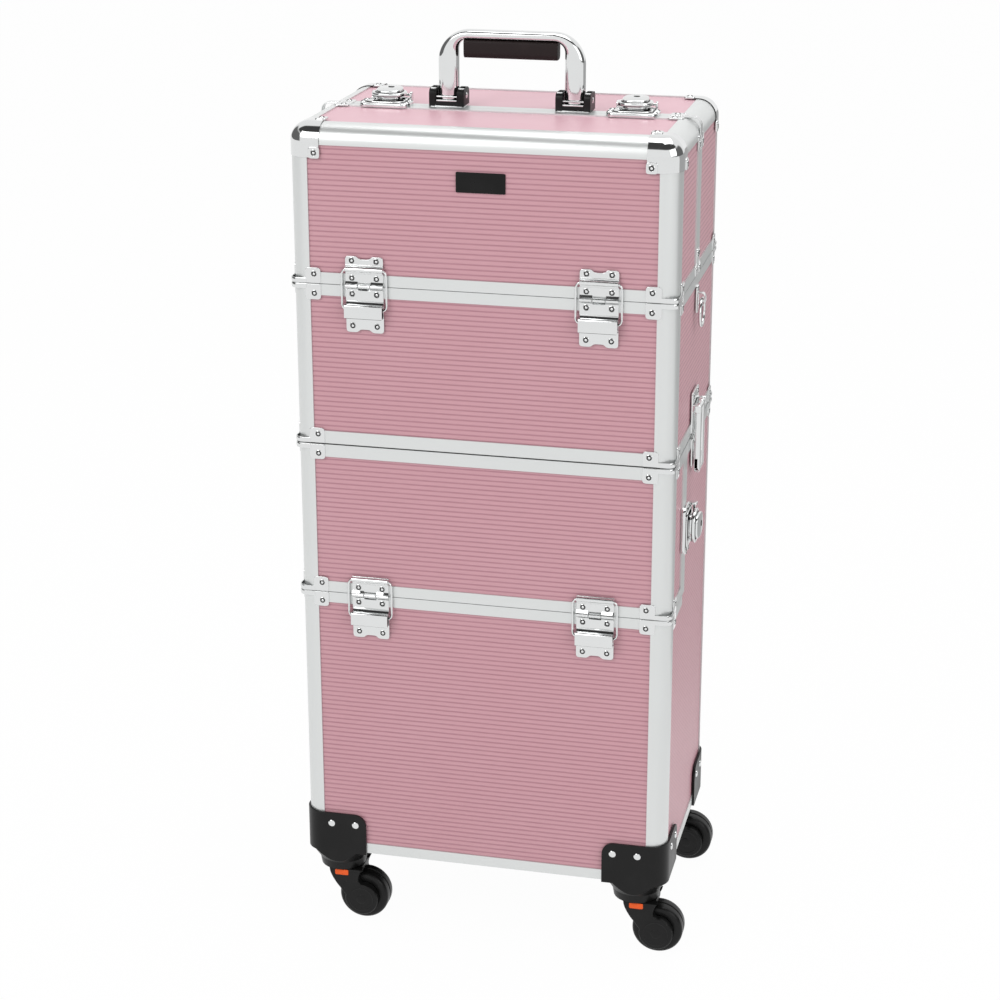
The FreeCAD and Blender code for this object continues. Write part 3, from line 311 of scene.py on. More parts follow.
def build_piece(name: str, patches: Sequence[Patch], finishes: Sequence["Finish"], body: str,
                nodes: Sequence[str] = (), sharp: float = 38.0) -> bpy.types.Object:
    """Put patches into one mesh object that rides on a body.

    Args:
        name: the piece's name.
        patches: its surfaces, in millimetres.
        finishes: the finishes that the patches' slots name.
        body: the body that it moves with.
        nodes: the solids that it stands for.
        sharp: edges that turn by more degrees than this stay crisp.

    Returns:
        The object.
    """
    starts = np.cumsum([0] + [len(patch.points) for patch in patches])
    points = np.concatenate([patch.points for patch in patches]) * MM
    faces = [tuple(int(i + start) for i in face) for patch, start in zip(patches, starts) for face in patch.faces]
    slots = [patch.finish for patch in patches for _ in patch.faces]
    mesh = bpy.data.meshes.new(name)
    mesh.from_pydata(points.tolist(), [], faces)
    mesh.polygons.foreach_set("material_index", slots)
    merged = bmesh.new()
    merged.from_mesh(mesh)
    bmesh.ops.remove_doubles(merged, verts=merged.verts, dist=1e-6)
    merged.to_mesh(mesh)
    merged.free()
    mesh.polygons.foreach_set("use_smooth", np.ones(len(mesh.polygons), bool))
    mesh.set_sharp_from_angle(angle=math.radians(sharp))
    for finish in finishes:
        mesh.materials.append(finish.material())
    piece = bpy.data.objects.new(name, mesh)
    bpy.context.scene.collection.objects.link(piece)
    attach(piece, body)
    if nodes:
        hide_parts(*nodes)
    log.info("%s: %d faces on %s", name, len(mesh.polygons), body)
    return piece


class Term:
    """A socket in a shader sheet that takes part in arithmetic; each operator adds one Math node."""

    def __init__(self, sheet: "ShaderSheet", socket: bpy.types.NodeSocket) -> None:
        """Keep the sheet and the socket."""
        self.sheet, self.socket = sheet, socket

    def _joined(self, operation: str, *operands: "Term | float") -> "Term":
        """Add a Math node over the operands."""
        inputs = dict(enumerate(operands))
        return self.sheet.term("ShaderNodeMath", {"operation": operation}, inputs)

    def __add__(self, other: "Term | float") -> "Term":
        """Add."""
        return self._joined("ADD", self, other)

    __radd__ = __add__

    def __sub__(self, other: "Term | float") -> "Term":
        """Take away."""
        return self._joined("SUBTRACT", self, other)

    def __rsub__(self, other: float) -> "Term":
        """Take this term away from a number."""
        return self._joined("SUBTRACT", other, self)

    def __mul__(self, other: "Term | float") -> "Term":
        """Multiply."""
        return self._joined("MULTIPLY", self, other)

    __rmul__ = __mul__

    def __abs__(self) -> "Term":
        """Drop the sign."""
        return self._joined("ABSOLUTE", self)

    def sine(self) -> "Term":
        """Return the sine."""
        return self._joined("SINE", self)

    def above(self, level: float) -> "Term":
        """Return 1 where the term is above a level and 0 elsewhere."""
        return self._joined("GREATER_THAN", self, level)

    def highest(self, other: "Term") -> "Term":
        """Return the greater of two terms."""
        return self._joined("MAXIMUM", self, other)

    def span(self, low: float, high: float) -> "Term":
        """Return a smooth step from 0 at low to 1 at high."""
        return self.sheet.term("ShaderNodeMapRange", {"interpolation_type": "SMOOTHSTEP"},
                               {"Value": self, "From Min": low, "From Max": high})


class ShaderSheet:
    """Node tree of one finish."""

    def __init__(self, tree: bpy.types.NodeTree) -> None:
        """Clear a tree to work on."""
        self.tree = tree
        tree.nodes.clear()

    def node(self, kind: str, settings: Optional[dict] = None, inputs: Optional[dict] = None) -> bpy.types.Node:
        """Add a node.

        Args:
            kind: the node's type name.
            settings: its properties, set first.
            inputs: values or terms for its sockets, by name or number.

        Returns:
            The node.
        """
        made = self.tree.nodes.new(kind)
        for name, setting in (settings or {}).items():
            setattr(made, name, setting)
        for key, given in (inputs or {}).items():
            source = given.socket if isinstance(given, Term) else given
            if isinstance(source, bpy.types.NodeSocket):
                self.tree.links.new(source, made.inputs[key])
            else:
                made.inputs[key].default_value = source
        return made

    def term(self, kind: str, settings: Optional[dict] = None, inputs: Optional[dict] = None,
             output: int | str = 0) -> Term:
        """Add a node and return one of its outputs."""
        return Term(self, self.node(kind, settings, inputs).outputs[output])

    def place(self) -> Term:
        """Return the piece's own coordinates in metres."""
        return self.term("ShaderNodeTexCoord", output="Object")

    def axes(self, vector: Term) -> tuple[Term, Term, Term]:
        """Split a vector."""
        made = self.node("ShaderNodeSeparateXYZ", None, {0: vector})
        return tuple(Term(self, out) for out in made.outputs)

    def noise(self, scale: float, stretch: Vec = (1, 1, 1), detail: float = 3.0) -> Term:
        """Return grey noise over the piece, finer along the axes with a larger stretch."""
        spot = self.term("ShaderNodeMapping", None, {"Vector": self.place(), "Scale": stretch})
        return self.term("ShaderNodeTexNoise", None, {"Vector": spot, "Scale": scale, "Detail": detail})

    def mix(self, factor: Term | float, first: Term | Vec, second: Term | Vec) -> Term:
        """Mix two colours."""
        made = self.node("ShaderNodeMix", {"data_type": "RGBA"}, {0: factor, 6: first, 7: second})
        return Term(self, made.outputs[2])

    def bump(self, height: Term, strength: float, distance: float) -> Term:
        """Return a normal raised by a height."""
        return self.term("ShaderNodeBump", None, {"Height": height, "Strength": strength, "Distance": distance})

    def surface(self, **inputs: Term | float | Vec) -> None:
        """Close the sheet with a principled surface; names use underscores for spaces."""
        words = {name.replace("_", " "): given for name, given in inputs.items()}
        shader = self.node("ShaderNodeBsdfPrincipled", None, words)
        self.node("ShaderNodeOutputMaterial", None, {"Surface": shader.outputs[0]})


def shade(red: float, green: float, blue: float) -> tuple[float, float, float, float]:
    """Return an opaque colour."""
    return (red, green, blue, 1.0)


@dataclass(frozen=True)
class Finish:
    """A surface finish: its name, the record's slot it belongs to and its plain numbers."""

    name: str
    slot: str
    colour: tuple[float, float, float]
    roughness: float

    def material(self) -> bpy.types.Material:
        """Return the finish's material, made at its first use."""
        found = bpy.data.materials.get(self.name)
        if found:
            return found
        made = bpy.data.materials.new(self.name)
        made.use_nodes = True
        self.draw(ShaderSheet(made.node_tree))
        return made

    def draw(self, sheet: ShaderSheet) -> None:
        """Draw the finish's nodes."""
        raise NotImplementedError


@dataclass(frozen=True)
class RibbedLaminate(Finish):
    """Pink laminate board: fine level ribs on the walls with painted shade in their grooves, smooth on top with painted
    light on faces that point up or down, dark lining inside.
    """

    pitch: float = 0.0045
    # groove is the darker pink of painted shade in the rib grooves; pale is the lighter pink of painted light on faces
    # that point up or down
    groove: tuple[float, float, float] = (0.37, 0.165, 0.205)
    pale: tuple[float, float, float] = (0.66, 0.42, 0.48)
    lining: tuple[float, float, float] = (0.012, 0.011, 0.012)
    inside: tuple[float, float, float] = (0.1663, 0.1088, 0.7585)

    def draw(self, sheet: ShaderSheet) -> None:
        """Draw ribs from the height with painted shade in the grooves, a smooth top painted paler from the normal as if
        lit, and the lining from the depth.
        """
        spot = sheet.place()
        x, y, z = sheet.axes(spot)
        normal = sheet.axes(sheet.term("ShaderNodeNewGeometry", output="Normal"))
        wall = 1 - abs(normal[2]).above(0.5)
        wave = (z * (2 * math.pi / self.pitch)).sine()
        twin = (z * (4 * math.pi / self.pitch)).sine()
        ridge = (wave * 0.5 + twin * 0.28 + 0.5) * wall
        side, end, top = self.inside
        inner = 1 - (abs(x) - side).highest(abs(y) - end).highest(z - top).above(0.0)
        cloud = sheet.noise(9.0, (1, 1, 1), 2.0)
        line = sheet.noise(60.0, (1, 1, 12), 2.0)
        # Painted light: faces that point up or down are mixed towards the pale pink, as if lit from above.
        tint = sheet.mix(cloud * 0.22 + (1 - wall) * 0.6, shade(*self.colour), shade(*self.pale))
        # Painted shade: the grooves between the ribs are mixed towards the dark groove pink.
        shown = sheet.mix((1 - ridge.span(0.06, 0.46)) * wall * (line * 0.5 + 0.45), tint, shade(*self.groove))
        felt = sheet.noise(900.0)
        colour = sheet.mix(inner, shown, shade(*self.lining))
        height = ridge * (1 - inner) + felt * inner * 0.3
        sheet.surface(Base_Color=colour, Roughness=inner * 0.45 + (line * 0.10 + self.roughness),
                      Normal=sheet.bump(height, 0.35, 0.0006))


@dataclass(frozen=True)
class SatinAluminium(Finish):
    """Anodised extrusion with faint drawing lines."""

    def draw(self, sheet: ShaderSheet) -> None:
        """Draw fine streaks in the roughness and a faint cloud in the colour."""
        streak = sheet.noise(160.0, (6, 6, 6), 4.0)
        cloud = sheet.noise(14.0, detail=2.0)
        tint = sheet.mix(cloud * 0.5, shade(*self.colour), shade(*(0.93 * part for part in self.colour)))
        sheet.surface(Base_Color=tint, Metallic=0.8, Roughness=streak * 0.12 + (self.roughness - 0.06),
                      Normal=sheet.bump(streak, 0.04, 0.0002))


@dataclass(frozen=True)
class Chrome(Finish):
    """Bright plated steel with faint smudges."""

    def draw(self, sheet: ShaderSheet) -> None:
        """Draw smudges in the roughness."""
        smudge = sheet.noise(70.0, detail=4.0)
        tint = sheet.mix(smudge * 0.3, shade(*self.colour), shade(*(0.92 * part for part in self.colour)))
        sheet.surface(Base_Color=tint, Metallic=1.0, Roughness=smudge.span(0.35, 0.8) * 0.06 + self.roughness)


@dataclass(frozen=True)
class Moulded(Finish):
    """Moulded plastic or rubber with a fine grain."""

    grain: float = 900.0
    depth: float = 0.12
    shine: float = 0.22

    def draw(self, sheet: ShaderSheet) -> None:
        """Draw grain in the normal and light wear in the roughness and colour."""
        speck = sheet.noise(self.grain, detail=2.0)
        wear = sheet.noise(40.0, detail=3.0)
        pale = shade(*(min(1.0, 1.35 * part + 0.004) for part in self.colour))
        tint = sheet.mix(wear.span(0.45, 0.8) * 0.5, shade(*self.colour), pale)
        sheet.surface(Base_Color=tint, Roughness=wear * 0.14 + (self.roughness - 0.07),
                      Specular_IOR_Level=self.shine, Normal=sheet.bump(speck, self.depth, 0.0003))


PINK = RibbedLaminate("pink_laminate", "pink_panel", (0.565, 0.295, 0.335), 0.34)
ALUMINIUM = SatinAluminium("drawn_aluminium", "satin_aluminium", (0.72, 0.735, 0.73), 0.36)
CHROME = Chrome("bright_chrome", "chrome", (0.74, 0.75, 0.75), 0.05)
# Near-black finish painted where the chrome shows only shade or dark reflection: rivet rings, shadow gaps at the hinge
# hoods, shadow lines round the latch steps and discs, and the keyhole.
PAINTED_SHADE = Moulded("painted_shade_dark", "chrome", (0.03, 0.03, 0.03), 0.5)
BLACK = Moulded("black_moulding", "black_plastic", (0.006, 0.006, 0.006), 0.36)
PLATE = Moulded("black_name_plate", "black_plate", (0.004, 0.004, 0.004), 0.2, 300.0, 0.02, 0.2)
GRIP = Moulded("soft_grip", "grip", (0.016, 0.010, 0.010), 0.45, 700.0, 0.2, 0.2)
TYRE = Moulded("caster_tyre", "tyre", (0.007, 0.007, 0.007), 0.32)
ORANGE = Moulded("orange_release", "orange_button", (0.80, 0.11, 0.02), 0.34, 500.0, 0.05)


RIVET_HEAD = ((2.9, 0.0), (2.8, 0.3), (2.55, 0.45), (2.4, 0.4))
RIVET_SHADE_RING = ((2.4, 0.4), (2.1, 0.62), (1.6, 0.6), (1.25, 0.42))
RIVET_STUD = ((1.25, 0.42), (1.05, 0.66), (0.6, 0.8), (0.0, 0.85))
# The metalwork's second slot is that near-black painted shade.
METAL = (CHROME, PAINTED_SHADE)


def rivet(u: float, v: float, height: float) -> list[Patch]:
    """Make a rivet head on the local w axis: a bright rim, a ring painted near-black as shade and dark reflection, and
    a bright stud.
    """
    parts = [lathe(RIVET_HEAD, 20), lathe(RIVET_SHADE_RING, 20).shown_as(1), lathe(RIVET_STUD, 20)]
    return placed(parts, (u, v, height), UPRIGHT)


def barrel(start: float, stop: float, v: float, w: float, radius: float) -> Patch:
    """Make a round bar along the local u axis with softened ends."""
    soft = min(0.4, radius / 3)
    length = stop - start
    profile = [(0, 0), (radius - soft, 0), (radius, soft),
               (radius, length - soft), (radius - soft, length), (0, length)]
    return lathe(profile, 20).placed((start, v, w), ALONG_X)


def strip_of(profile: Sequence[Vec], start: float, stop: float, rim: float = 0.2) -> Patch:
    """Extrude a profile of v, w points along the local u axis."""
    return plate(np.array(profile, float), 0.0, stop - start, rim).placed((start, 0, 0), ALONG_X)


@dataclass
class StayHinge:
    """Stay hinge: two riveted leaves on a rolled pin, and a wire loop that runs behind a hood."""

    place: float = 103.0
    width: float = 34.0
    wall: float = 1.2
    pin_out: float = 2.2
    knuckle: float = 2.0
    knuckle_half: float = 5.5
    knuckle_gap: float = 0.3
    leaf_up: float = 26.4
    leaf_down: float = 41.4
    roll_up: float = 15.0
    roll_out: float = 2.5
    roll_radius: float = 2.3
    wire_radius: float = 1.0
    wire_half: float = 20.0
    wire_down: float = 21.0
    hood_top: float = 15.4
    hood_height: float = 12.0
    hood_out: float = 7.7
    hood_wall: float = 0.9
    row_top: float = 22.4
    row_rail: float = 7.0
    row_bottom: float = 35.5
    spread: float = 11.0

    def notched(self, inner: float, outer: float) -> Array:
        """Return a leaf's end plate: a rectangle whose outer edge is scooped between the rivets."""
        half, way = self.width / 2, 1 if outer > inner else -1
        scoop = outer - way * 2.6
        corners = [(-half, inner), (half, inner), (half, outer), (self.spread - 4.2, outer),
                   (self.spread - 6.6, scoop), (6.6 - self.spread, scoop), (4.2 - self.spread, outer), (-half, outer)]
        return rounded(corners, [0.3, 0.3, 3.2, 2.2, 2.2, 2.2, 2.2, 3.2])

    def rivets(self, level: float, height: float) -> list[Patch]:
        """Make the two rivets of one row."""
        return rivet(-self.spread, level, height) + rivet(self.spread, level, height)

    def upper_leaf(self, with_plate: bool) -> list[Patch]:
        """Make the upper leaf in local axes: u across, v up from the joint, w outward.

        Args:
            with_plate: whether the leaf has the riveted plate above its roll.

        Returns:
            Its patches.
        """
        half, edge = self.width / 2, self.knuckle_half + self.knuckle_gap
        parts = [block(self.width, 9.2, 0, self.wall, 0.4, 0.3, (0, 7.5))]
        parts.append(block(self.width - 1.0, 2.6, 0, self.wall + 1.3, 0.4, 0.4, (0, 12.2)))
        parts += [barrel(-half, half, self.roll_up, self.roll_out, self.roll_radius)]
        parts += self.rivets(self.row_rail, self.wall)
        if with_plate:
            parts.append(plate(self.notched(self.roll_up, self.leaf_up), 0, self.wall, 0.35))
            parts.append(block(self.width, 1.5, 0, self.wall + 0.6, 0.3, 0.3, (0, 18.2)))
            parts += self.rivets(self.row_top, self.wall)
        else:
            parts.append(block(self.width, 4.0, 0, self.wall, 0.8, 0.3, (0, 15.6)))
        for start, stop in ((-half, -edge), (edge, half)):
            parts.append(barrel(start, stop, 0, self.pin_out, self.knuckle))
            curl = [(0.2, 0), (4, 0), (4, self.wall), (1.2, self.pin_out + 1.0), (0.2, 1.2)]
            parts.append(strip_of(curl, start, stop))
        return parts

    def lower_leaf(self) -> list[Patch]:
        """Make the lower leaf with its hood in local axes."""
        half, out, wall = self.width / 2, self.hood_out, self.hood_wall
        top, low = -self.hood_top, -self.hood_top - self.hood_height
        parts = [block(self.width, 10.6, 0, self.wall, 0.4, 0.3, (0, -8.3))]
        parts += self.rivets(-self.row_rail, self.wall)
        parts.append(barrel(-self.knuckle_half, self.knuckle_half, 0, self.pin_out, self.knuckle))
        parts.append(strip_of([(-0.2, 0), (-0.2, 1.2), (-1.2, self.pin_out + 1.0), (-4, self.wall), (-4, 0)],
                              -self.knuckle_half, self.knuckle_half))
        parts.append(block(self.width - 0.6, 14.0, 0, 0.7, 0.3, 0.2, (0, -20.5)))
        outer = rounded([(top, 0.4), (top, out), (low, out)], [0.1, 2.6, 0.1], 6, closed=False)
        inner = rounded([(low, out - wall), (top - wall, out - wall), (top - wall, 0.4)], [0.1, 1.9, 0.1], 6,
                        closed=False)
        parts.append(strip_of(np.concatenate([outer, inner]), -half, half, 0.25))
        # Painted shade: a near-black strip fills the hood's open underside, and another runs as a shadow line along the
        # hood's upper edge.
        parts.append(block(self.width - 1.6, 1.5, 0.4, out - wall - 0.2, 0.3, 0.1, (0, low + 0.1)).shown_as(1))
        parts.append(block(self.width - 0.8, 0.9, 0.4, 1.5, 0.3, 0.1, (0, top + 0.6)).shown_as(1))
        parts.append(plate(self.notched(low + 0.2, -self.leaf_down), 0, self.wall, 0.35))
        parts += self.rivets(-self.row_bottom, self.wall)
        return parts

    def loop(self) -> list[Patch]:
        """Make the stay's wire loop in local axes."""
        half = self.wire_half
        corners = [(-half, self.roll_up), (half, self.roll_up), (half, -self.wire_down), (-half, -self.wire_down)]
        flat = rounded(corners, 5.5, 7)
        path = np.column_stack([flat, np.full(len(flat), self.roll_out)])
        return [wire(path, (0, 0, 1), self.wire_radius, True)]

    def pair(self, patches: Sequence[Patch], joint: float, end: End) -> list[Patch]:
        """Set a hinge's patches at both hinge places of one face."""
        left = placed(patches, (-self.place, -CASE.half_depth, joint), FACING_FRONT)
        both = left + mirrored(left, 0)
        return both if end is End.FRONT else mirrored(both, 1)

    def build(self) -> None:
        """Make the hinges of both lid halves and of the door."""
        upper, short, lower, loop = self.upper_leaf(True), self.upper_leaf(False), self.lower_leaf(), self.loop()
        for end in End:
            word = end.name.lower()
            build_piece(f"{word}_hinge_leaf_plates", self.pair(upper, CASE.lid_joint, end), METAL, f"{word}_lid",
                        [f"{word}_hinge_leaves"])
            build_piece(f"{word}_stay_wires", self.pair(loop, CASE.lid_joint, end), METAL, f"{word}_stays",
                        [f"{word}_stays"])
        plates = self.pair(lower, CASE.lid_joint, End.FRONT) + self.pair(lower, CASE.lid_joint, End.REAR)
        build_piece("upper_hinge_hoods", plates, METAL, "upper_case", ["upper_hinge_plates"])
        build_piece("door_hinge_leaf_plates", self.pair(short, CASE.door_joint, End.FRONT), METAL, "door",
                    ["door_hinge_leaves"])
        build_piece("door_hinge_hoods", self.pair(lower, CASE.door_joint, End.FRONT), METAL, "lower_case",
                    ["door_hinge_plates"])
        build_piece("door_stay_wires", self.pair(loop, CASE.door_joint, End.FRONT), METAL, "door_stays", ["door_stays"])


@dataclass
class CornerClips:
    """Pressed corner clips at the joints and splits, and the ball caps of the lid's corners."""

    wall: float = 0.8
    band: float = 4.4
    start: float = 13.5
    reach: float = 27.5
    height: float = 14.0
    cap_reach: float = 28.5
    rivet_in: float = 21.6
    rivet_up: float = 8.4

    def clip(self) -> list[Patch]:
        """Make a clip in local axes: the corner at the origin, u and v inward on its faces, w away from the split.

        The band follows the rounded corner; a plate with rounded outer corners lies on each face.
        """
        radius, far = CASE.corner_radius, self.start + 1.0
        bend = rounded([(far, 0), (0, 0), (0, far)], [0.01, radius * 0.86, 0.01], 12, closed=False)
        path = np.column_stack([bend, np.full(len(bend), self.band / 2)])
        profile = rounded([(-0.1, -self.band / 2), (self.wall, -self.band / 2), (self.wall + 0.3, 0),
                           (self.wall, self.band / 2), (-0.1, self.band / 2)], 0.35, 3)
        parts = [sweep(path, (0, 0, 1), profile * (-1, 1), False)]
        face = rounded([(self.start, 0.1), (self.reach, 0.1), (self.reach, self.height), (self.start, self.height)],
                       [0.5, 1.2, 3.4, 3.4])
        plate_u = plate(face, 0, self.wall, 0.3)
        heads = rivet(self.rivet_in, self.rivet_up, self.wall)
        parts += placed([plate_u, *heads], (0, 0, 0), FACING_FRONT)
        parts += placed([plate_u, *heads], (0, 0, 0), ((0, 1, 0), (0, 0, 1), (-1, 0, 0)))
        return parts

    def cap(self) -> list[Patch]:
        """Make a ball cap in local axes: the corner at the origin, all three axes inward.

        A point of the corner's three square faces moves to the rounded block: c + R * d / |d|, where c is
        the point clamped to the radius on each axis and d is what is left of it.
        """
        radius, wall, count = CASE.corner_radius + self.wall, self.wall, 22
        spread = np.linspace(0, 1, count) ** 1.25 * (self.cap_reach + wall)
        u, v = np.meshgrid(spread, spread, indexing="ij")
        parts = []
        for turn in range(3):
            cube = np.roll(np.stack([u, v, np.zeros_like(u)], -1), turn, -1).reshape(-1, 3)
            clamped = np.maximum(cube, radius)
            left = cube - clamped
            size = np.linalg.norm(left, axis=1, keepdims=True)
            skin = np.where(size > 1e-9, clamped + radius * left / np.maximum(size, 1e-9), cube) - wall
            faces = grid_faces(count, count)
            parts.append(Patch(skin, [face[::-1] for face in faces]))
            tab = block(10.0, 10.0, 0, wall + 0.9, 2.6, 0.5, (self.cap_reach - 4.2, self.cap_reach - 4.2))
            heads = rivet(self.cap_reach - 4.2, self.cap_reach - 4.2, wall + 0.9)
            ahead = np.roll(np.eye(3), turn, 1)
            parts += placed([tab, *heads], (0, 0, 0), (ahead[0], ahead[1], -ahead[2]))
        return parts

    def at_joint(self, level: float, way: int, end: End) -> list[Patch]:
        """Set clips on the left and right columns of one end at a joint."""
        y = end.value * CASE.half_depth
        left = placed(self.clip(), (-CASE.half_width, y, level), ((1, 0, 0), (0, -end.value, 0), (0, 0, way)))
        return left + mirrored(left, 0)

    def at_shoulder(self, edge: float, way: int) -> list[Patch]:
        """Set clips over the lid's shoulders beside its split."""
        left = placed(self.clip(), (-CASE.half_width, edge, CASE.top), ((1, 0, 0), (0, 0, -1), (0, way, 0)))
        return left + mirrored(left, 0)

    def build(self) -> None:
        """Make every clip and cap."""
        gap, lift = CASE.joint_gap / 2, CASE.lift_gap / 2
        front, rear = End.FRONT, End.REAR
        lower = self.at_joint(CASE.door_joint - gap, -1, front) + self.at_joint(CASE.lift_joint - lift, -1, rear)
        build_piece("lower_corner_clips", lower, METAL, "lower_case", ["lower_clips"])
        door = self.at_joint(CASE.door_joint + gap, 1, front) + self.at_joint(CASE.lift_joint - lift, -1, front)
        build_piece("door_corner_clips", door, METAL, "door", ["door_clips"])
        upper = [patch for end in End for level, way in ((CASE.lift_joint + lift, 1), (CASE.lid_joint - gap, -1))
                 for patch in self.at_joint(level, way, end)]
        build_piece("upper_corner_clips", upper, METAL, "upper_case", ["upper_clips"])
        for end in End:
            word = end.name.lower()
            lid = self.at_joint(CASE.lid_joint + gap, 1, end)
            lid += self.at_shoulder(CASE.lid_split + end.value * gap, end.value)
            build_piece(f"{word}_lid_corner_clips", lid, METAL, f"{word}_lid", [f"{word}_lid_clips"])
            cap = placed(self.cap(), (-CASE.half_width, end.value * CASE.half_depth, CASE.top),
                         ((1, 0, 0), (0, -end.value, 0), (0, 0, -1)))
            build_piece(f"{word}_lid_ball_caps", cap + mirrored(cap, 0), METAL, f"{word}_lid", [f"{word}_lid_caps"])


@dataclass
class KeyLatch:
    """Key latch across a split: a keeper, a base with lugs, and a stepped flap with a keyhole.

    Local axes: u beside the split, v across it from the keeper to the base, w outward.
    """

    top_place: float = 111.0
    door_level: float = 400.5
    flap_middle: float = 8.6
    flap_slope: float = 0.07
    slope_start: float = 13.0
    keyhole: float = 6.5
    half: float = 23.0
    front: float = 15.25
    back: float = 24.0
    flange: float = 3.4
    base_high: float = 4.6
    pivot: float = 19.0
    flap_half: float = 15.5
    flap_low: float = 8.0
    flap_high: float = 14.0
    lug: float = 3.0

    def keeper(self) -> list[Patch]:
        """Make the keeper: a thick flange with a waved front edge and a low step behind it."""
        h, f = self.half, -self.front
        petal = rounded([(-h, -0.25), (-h, -9), (-19, f), (-9, f + 1.2), (9, f + 1.2), (19, f), (h, -9), (h, -0.25)],
                        [0.6, 4, 4, 5, 5, 4, 4, 0.6])
        step = rounded([(-17, -0.3), (-17, -7), (-12, -11.5), (12, -11.5), (17, -7), (17, -0.3)],
                       [0.5, 3, 4, 4, 3, 0.5])
        parts = [plate(petal, 0, self.flange, 1.0), plate(step, self.flange - 0.2, self.base_high, 0.9)]
        parts.append(self.painted_shadow_line(step))
        return parts + rivet(-19.6, -7.0, self.flange) + rivet(19.6, -7.0, self.flange)

    def painted_shadow_line(self, step: Array) -> Patch:
        """Make the near-black line round the foot of a step: a painted shadow."""
        return plate(step * 1.06, self.flange - 0.2, self.flange + 0.35, 0.1).shown_as(1)

    def base(self) -> list[Patch]:
        """Make the base: a thick flange with a rounded rear tab, a step, two small lugs and the pin."""
        h, b = self.half, self.back
        petal = rounded([(-h, 0.25), (h, 0.25), (h, 8), (18, 14), (15, b), (-15, b), (-18, 14), (-h, 8)],
                        [0.6, 0.6, 4, 5, 7, 7, 5, 4])
        step = rounded([(-17, 0.3), (17, 0.3), (17, 12), (11, 20), (-11, 20), (-17, 12)], [0.5, 0.5, 4, 5, 5, 4])
        parts = [plate(petal, 0, self.flange, 1.0), plate(step, self.flange - 0.2, self.base_high, 0.9)]
        parts += [self.painted_shadow_line(step)] + rivet(-19.6, 5.0, self.flange) + rivet(19.6, 5.0, self.flange)
        ear = self.flap_half + 0.4 + self.lug / 2
        cheek = rounded([(-3.2, 0), (3.2, 0), (3.2, 8.6), (-3.2, 8.6)], [0.3, 0.3, 3.1, 3.1], 7)
        for way in (-1, 1):
            parts.append(plate(cheek, 0, self.lug - 1.0, 0.4).placed((way * ear - 1.0, self.pivot, 0.4), ALONG_X))
        return parts + [barrel(-ear, ear, self.pivot, 6.2, 1.2)]

    def flap(self) -> list[Patch]:
        """Make the flap: a neck, a broad oval, and a raised tab that rises to a rounded rear end, with painted shadow
        rings round the oval and the tab's foot, and a keyhole painted as a near-black plate.
        """
        low, high, middle = self.flap_low, self.flap_high, self.flap_middle
        parts = [plate(oval(22.0, 17.0, 2.4, 32) + (0, middle), self.base_high + 0.3, low + 0.4, 0.3)]
        parts.append(plate(oval(31.0, 27.0, 2.5, 48) + (0, middle), low, low + 2.4, 1.0))
        tab = plate(oval(23.0, 24.0, 2.8, 44) + (0, middle + 1.2), low + 2.2, high, 1.0)
        lean = (tab.points[:, 1] - middle - self.slope_start) * self.flap_slope * (tab.points[:, 2] > low + 2.3)
        parts.append(Patch(tab.points + np.outer(lean, (0, 0, 1)), tab.faces))
        # Painted shadow: near-black rings under the broad oval and round the foot of the tab.
        parts.append(plate(oval(30.0, 26.0, 2.5, 48) + (0, middle), low - 0.8, low + 0.1, 0.1).shown_as(1))
        parts.append(plate(oval(24.6, 25.4, 2.8, 44) + (0, middle + 0.6), low + 2.2, low + 2.75, 0.1).shown_as(1))
        # The keyhole is painted shade: a near-black plate stands for the dark inside of the hole.
        face = high + (self.keyhole - self.slope_start) * self.flap_slope
        hole = plate(oval(5.6, 3.4, 2.2, 20) + (0, middle + self.keyhole), face - 0.5, face + 0.22, 0.05)
        return parts + [hole.shown_as(1)]

    def build(self) -> None:
        """Make the two lid latches and the two door latches."""
        spots = {
            "top": ((-self.top_place, CASE.lid_split, CASE.top), UPRIGHT, "front_lid", "rear_lid",
                    "front_latch_keepers"),
            "door": ((-CASE.half_width, CASE.door_split, self.door_level), ((0, 0, 1), (0, 1, 0), (-1, 0, 0)),
                     "door", "lower_case", "door_latch_keepers"),
        }
        for word, (origin, axes, keeper_body, base_body, keeper_node) in spots.items():
            keeper, base = placed(self.keeper(), origin, axes), placed(self.base(), origin, axes)
            flap = placed(self.flap(), origin, axes)
            build_piece(f"{word}_latch_keeper_plates", keeper + mirrored(keeper, 0), METAL, keeper_body, [keeper_node])
            build_piece(f"{word}_latch_base_plates", base + mirrored(base, 0), METAL, base_body,
                        [f"{word}_latch_bases"])
            for side in Side:
                node = f"{word}_latch_{side.name.lower()}"
                build_piece(f"{node}_flap", flap if side is Side.LEFT else mirrored(flap, 0), METAL, node, [node])


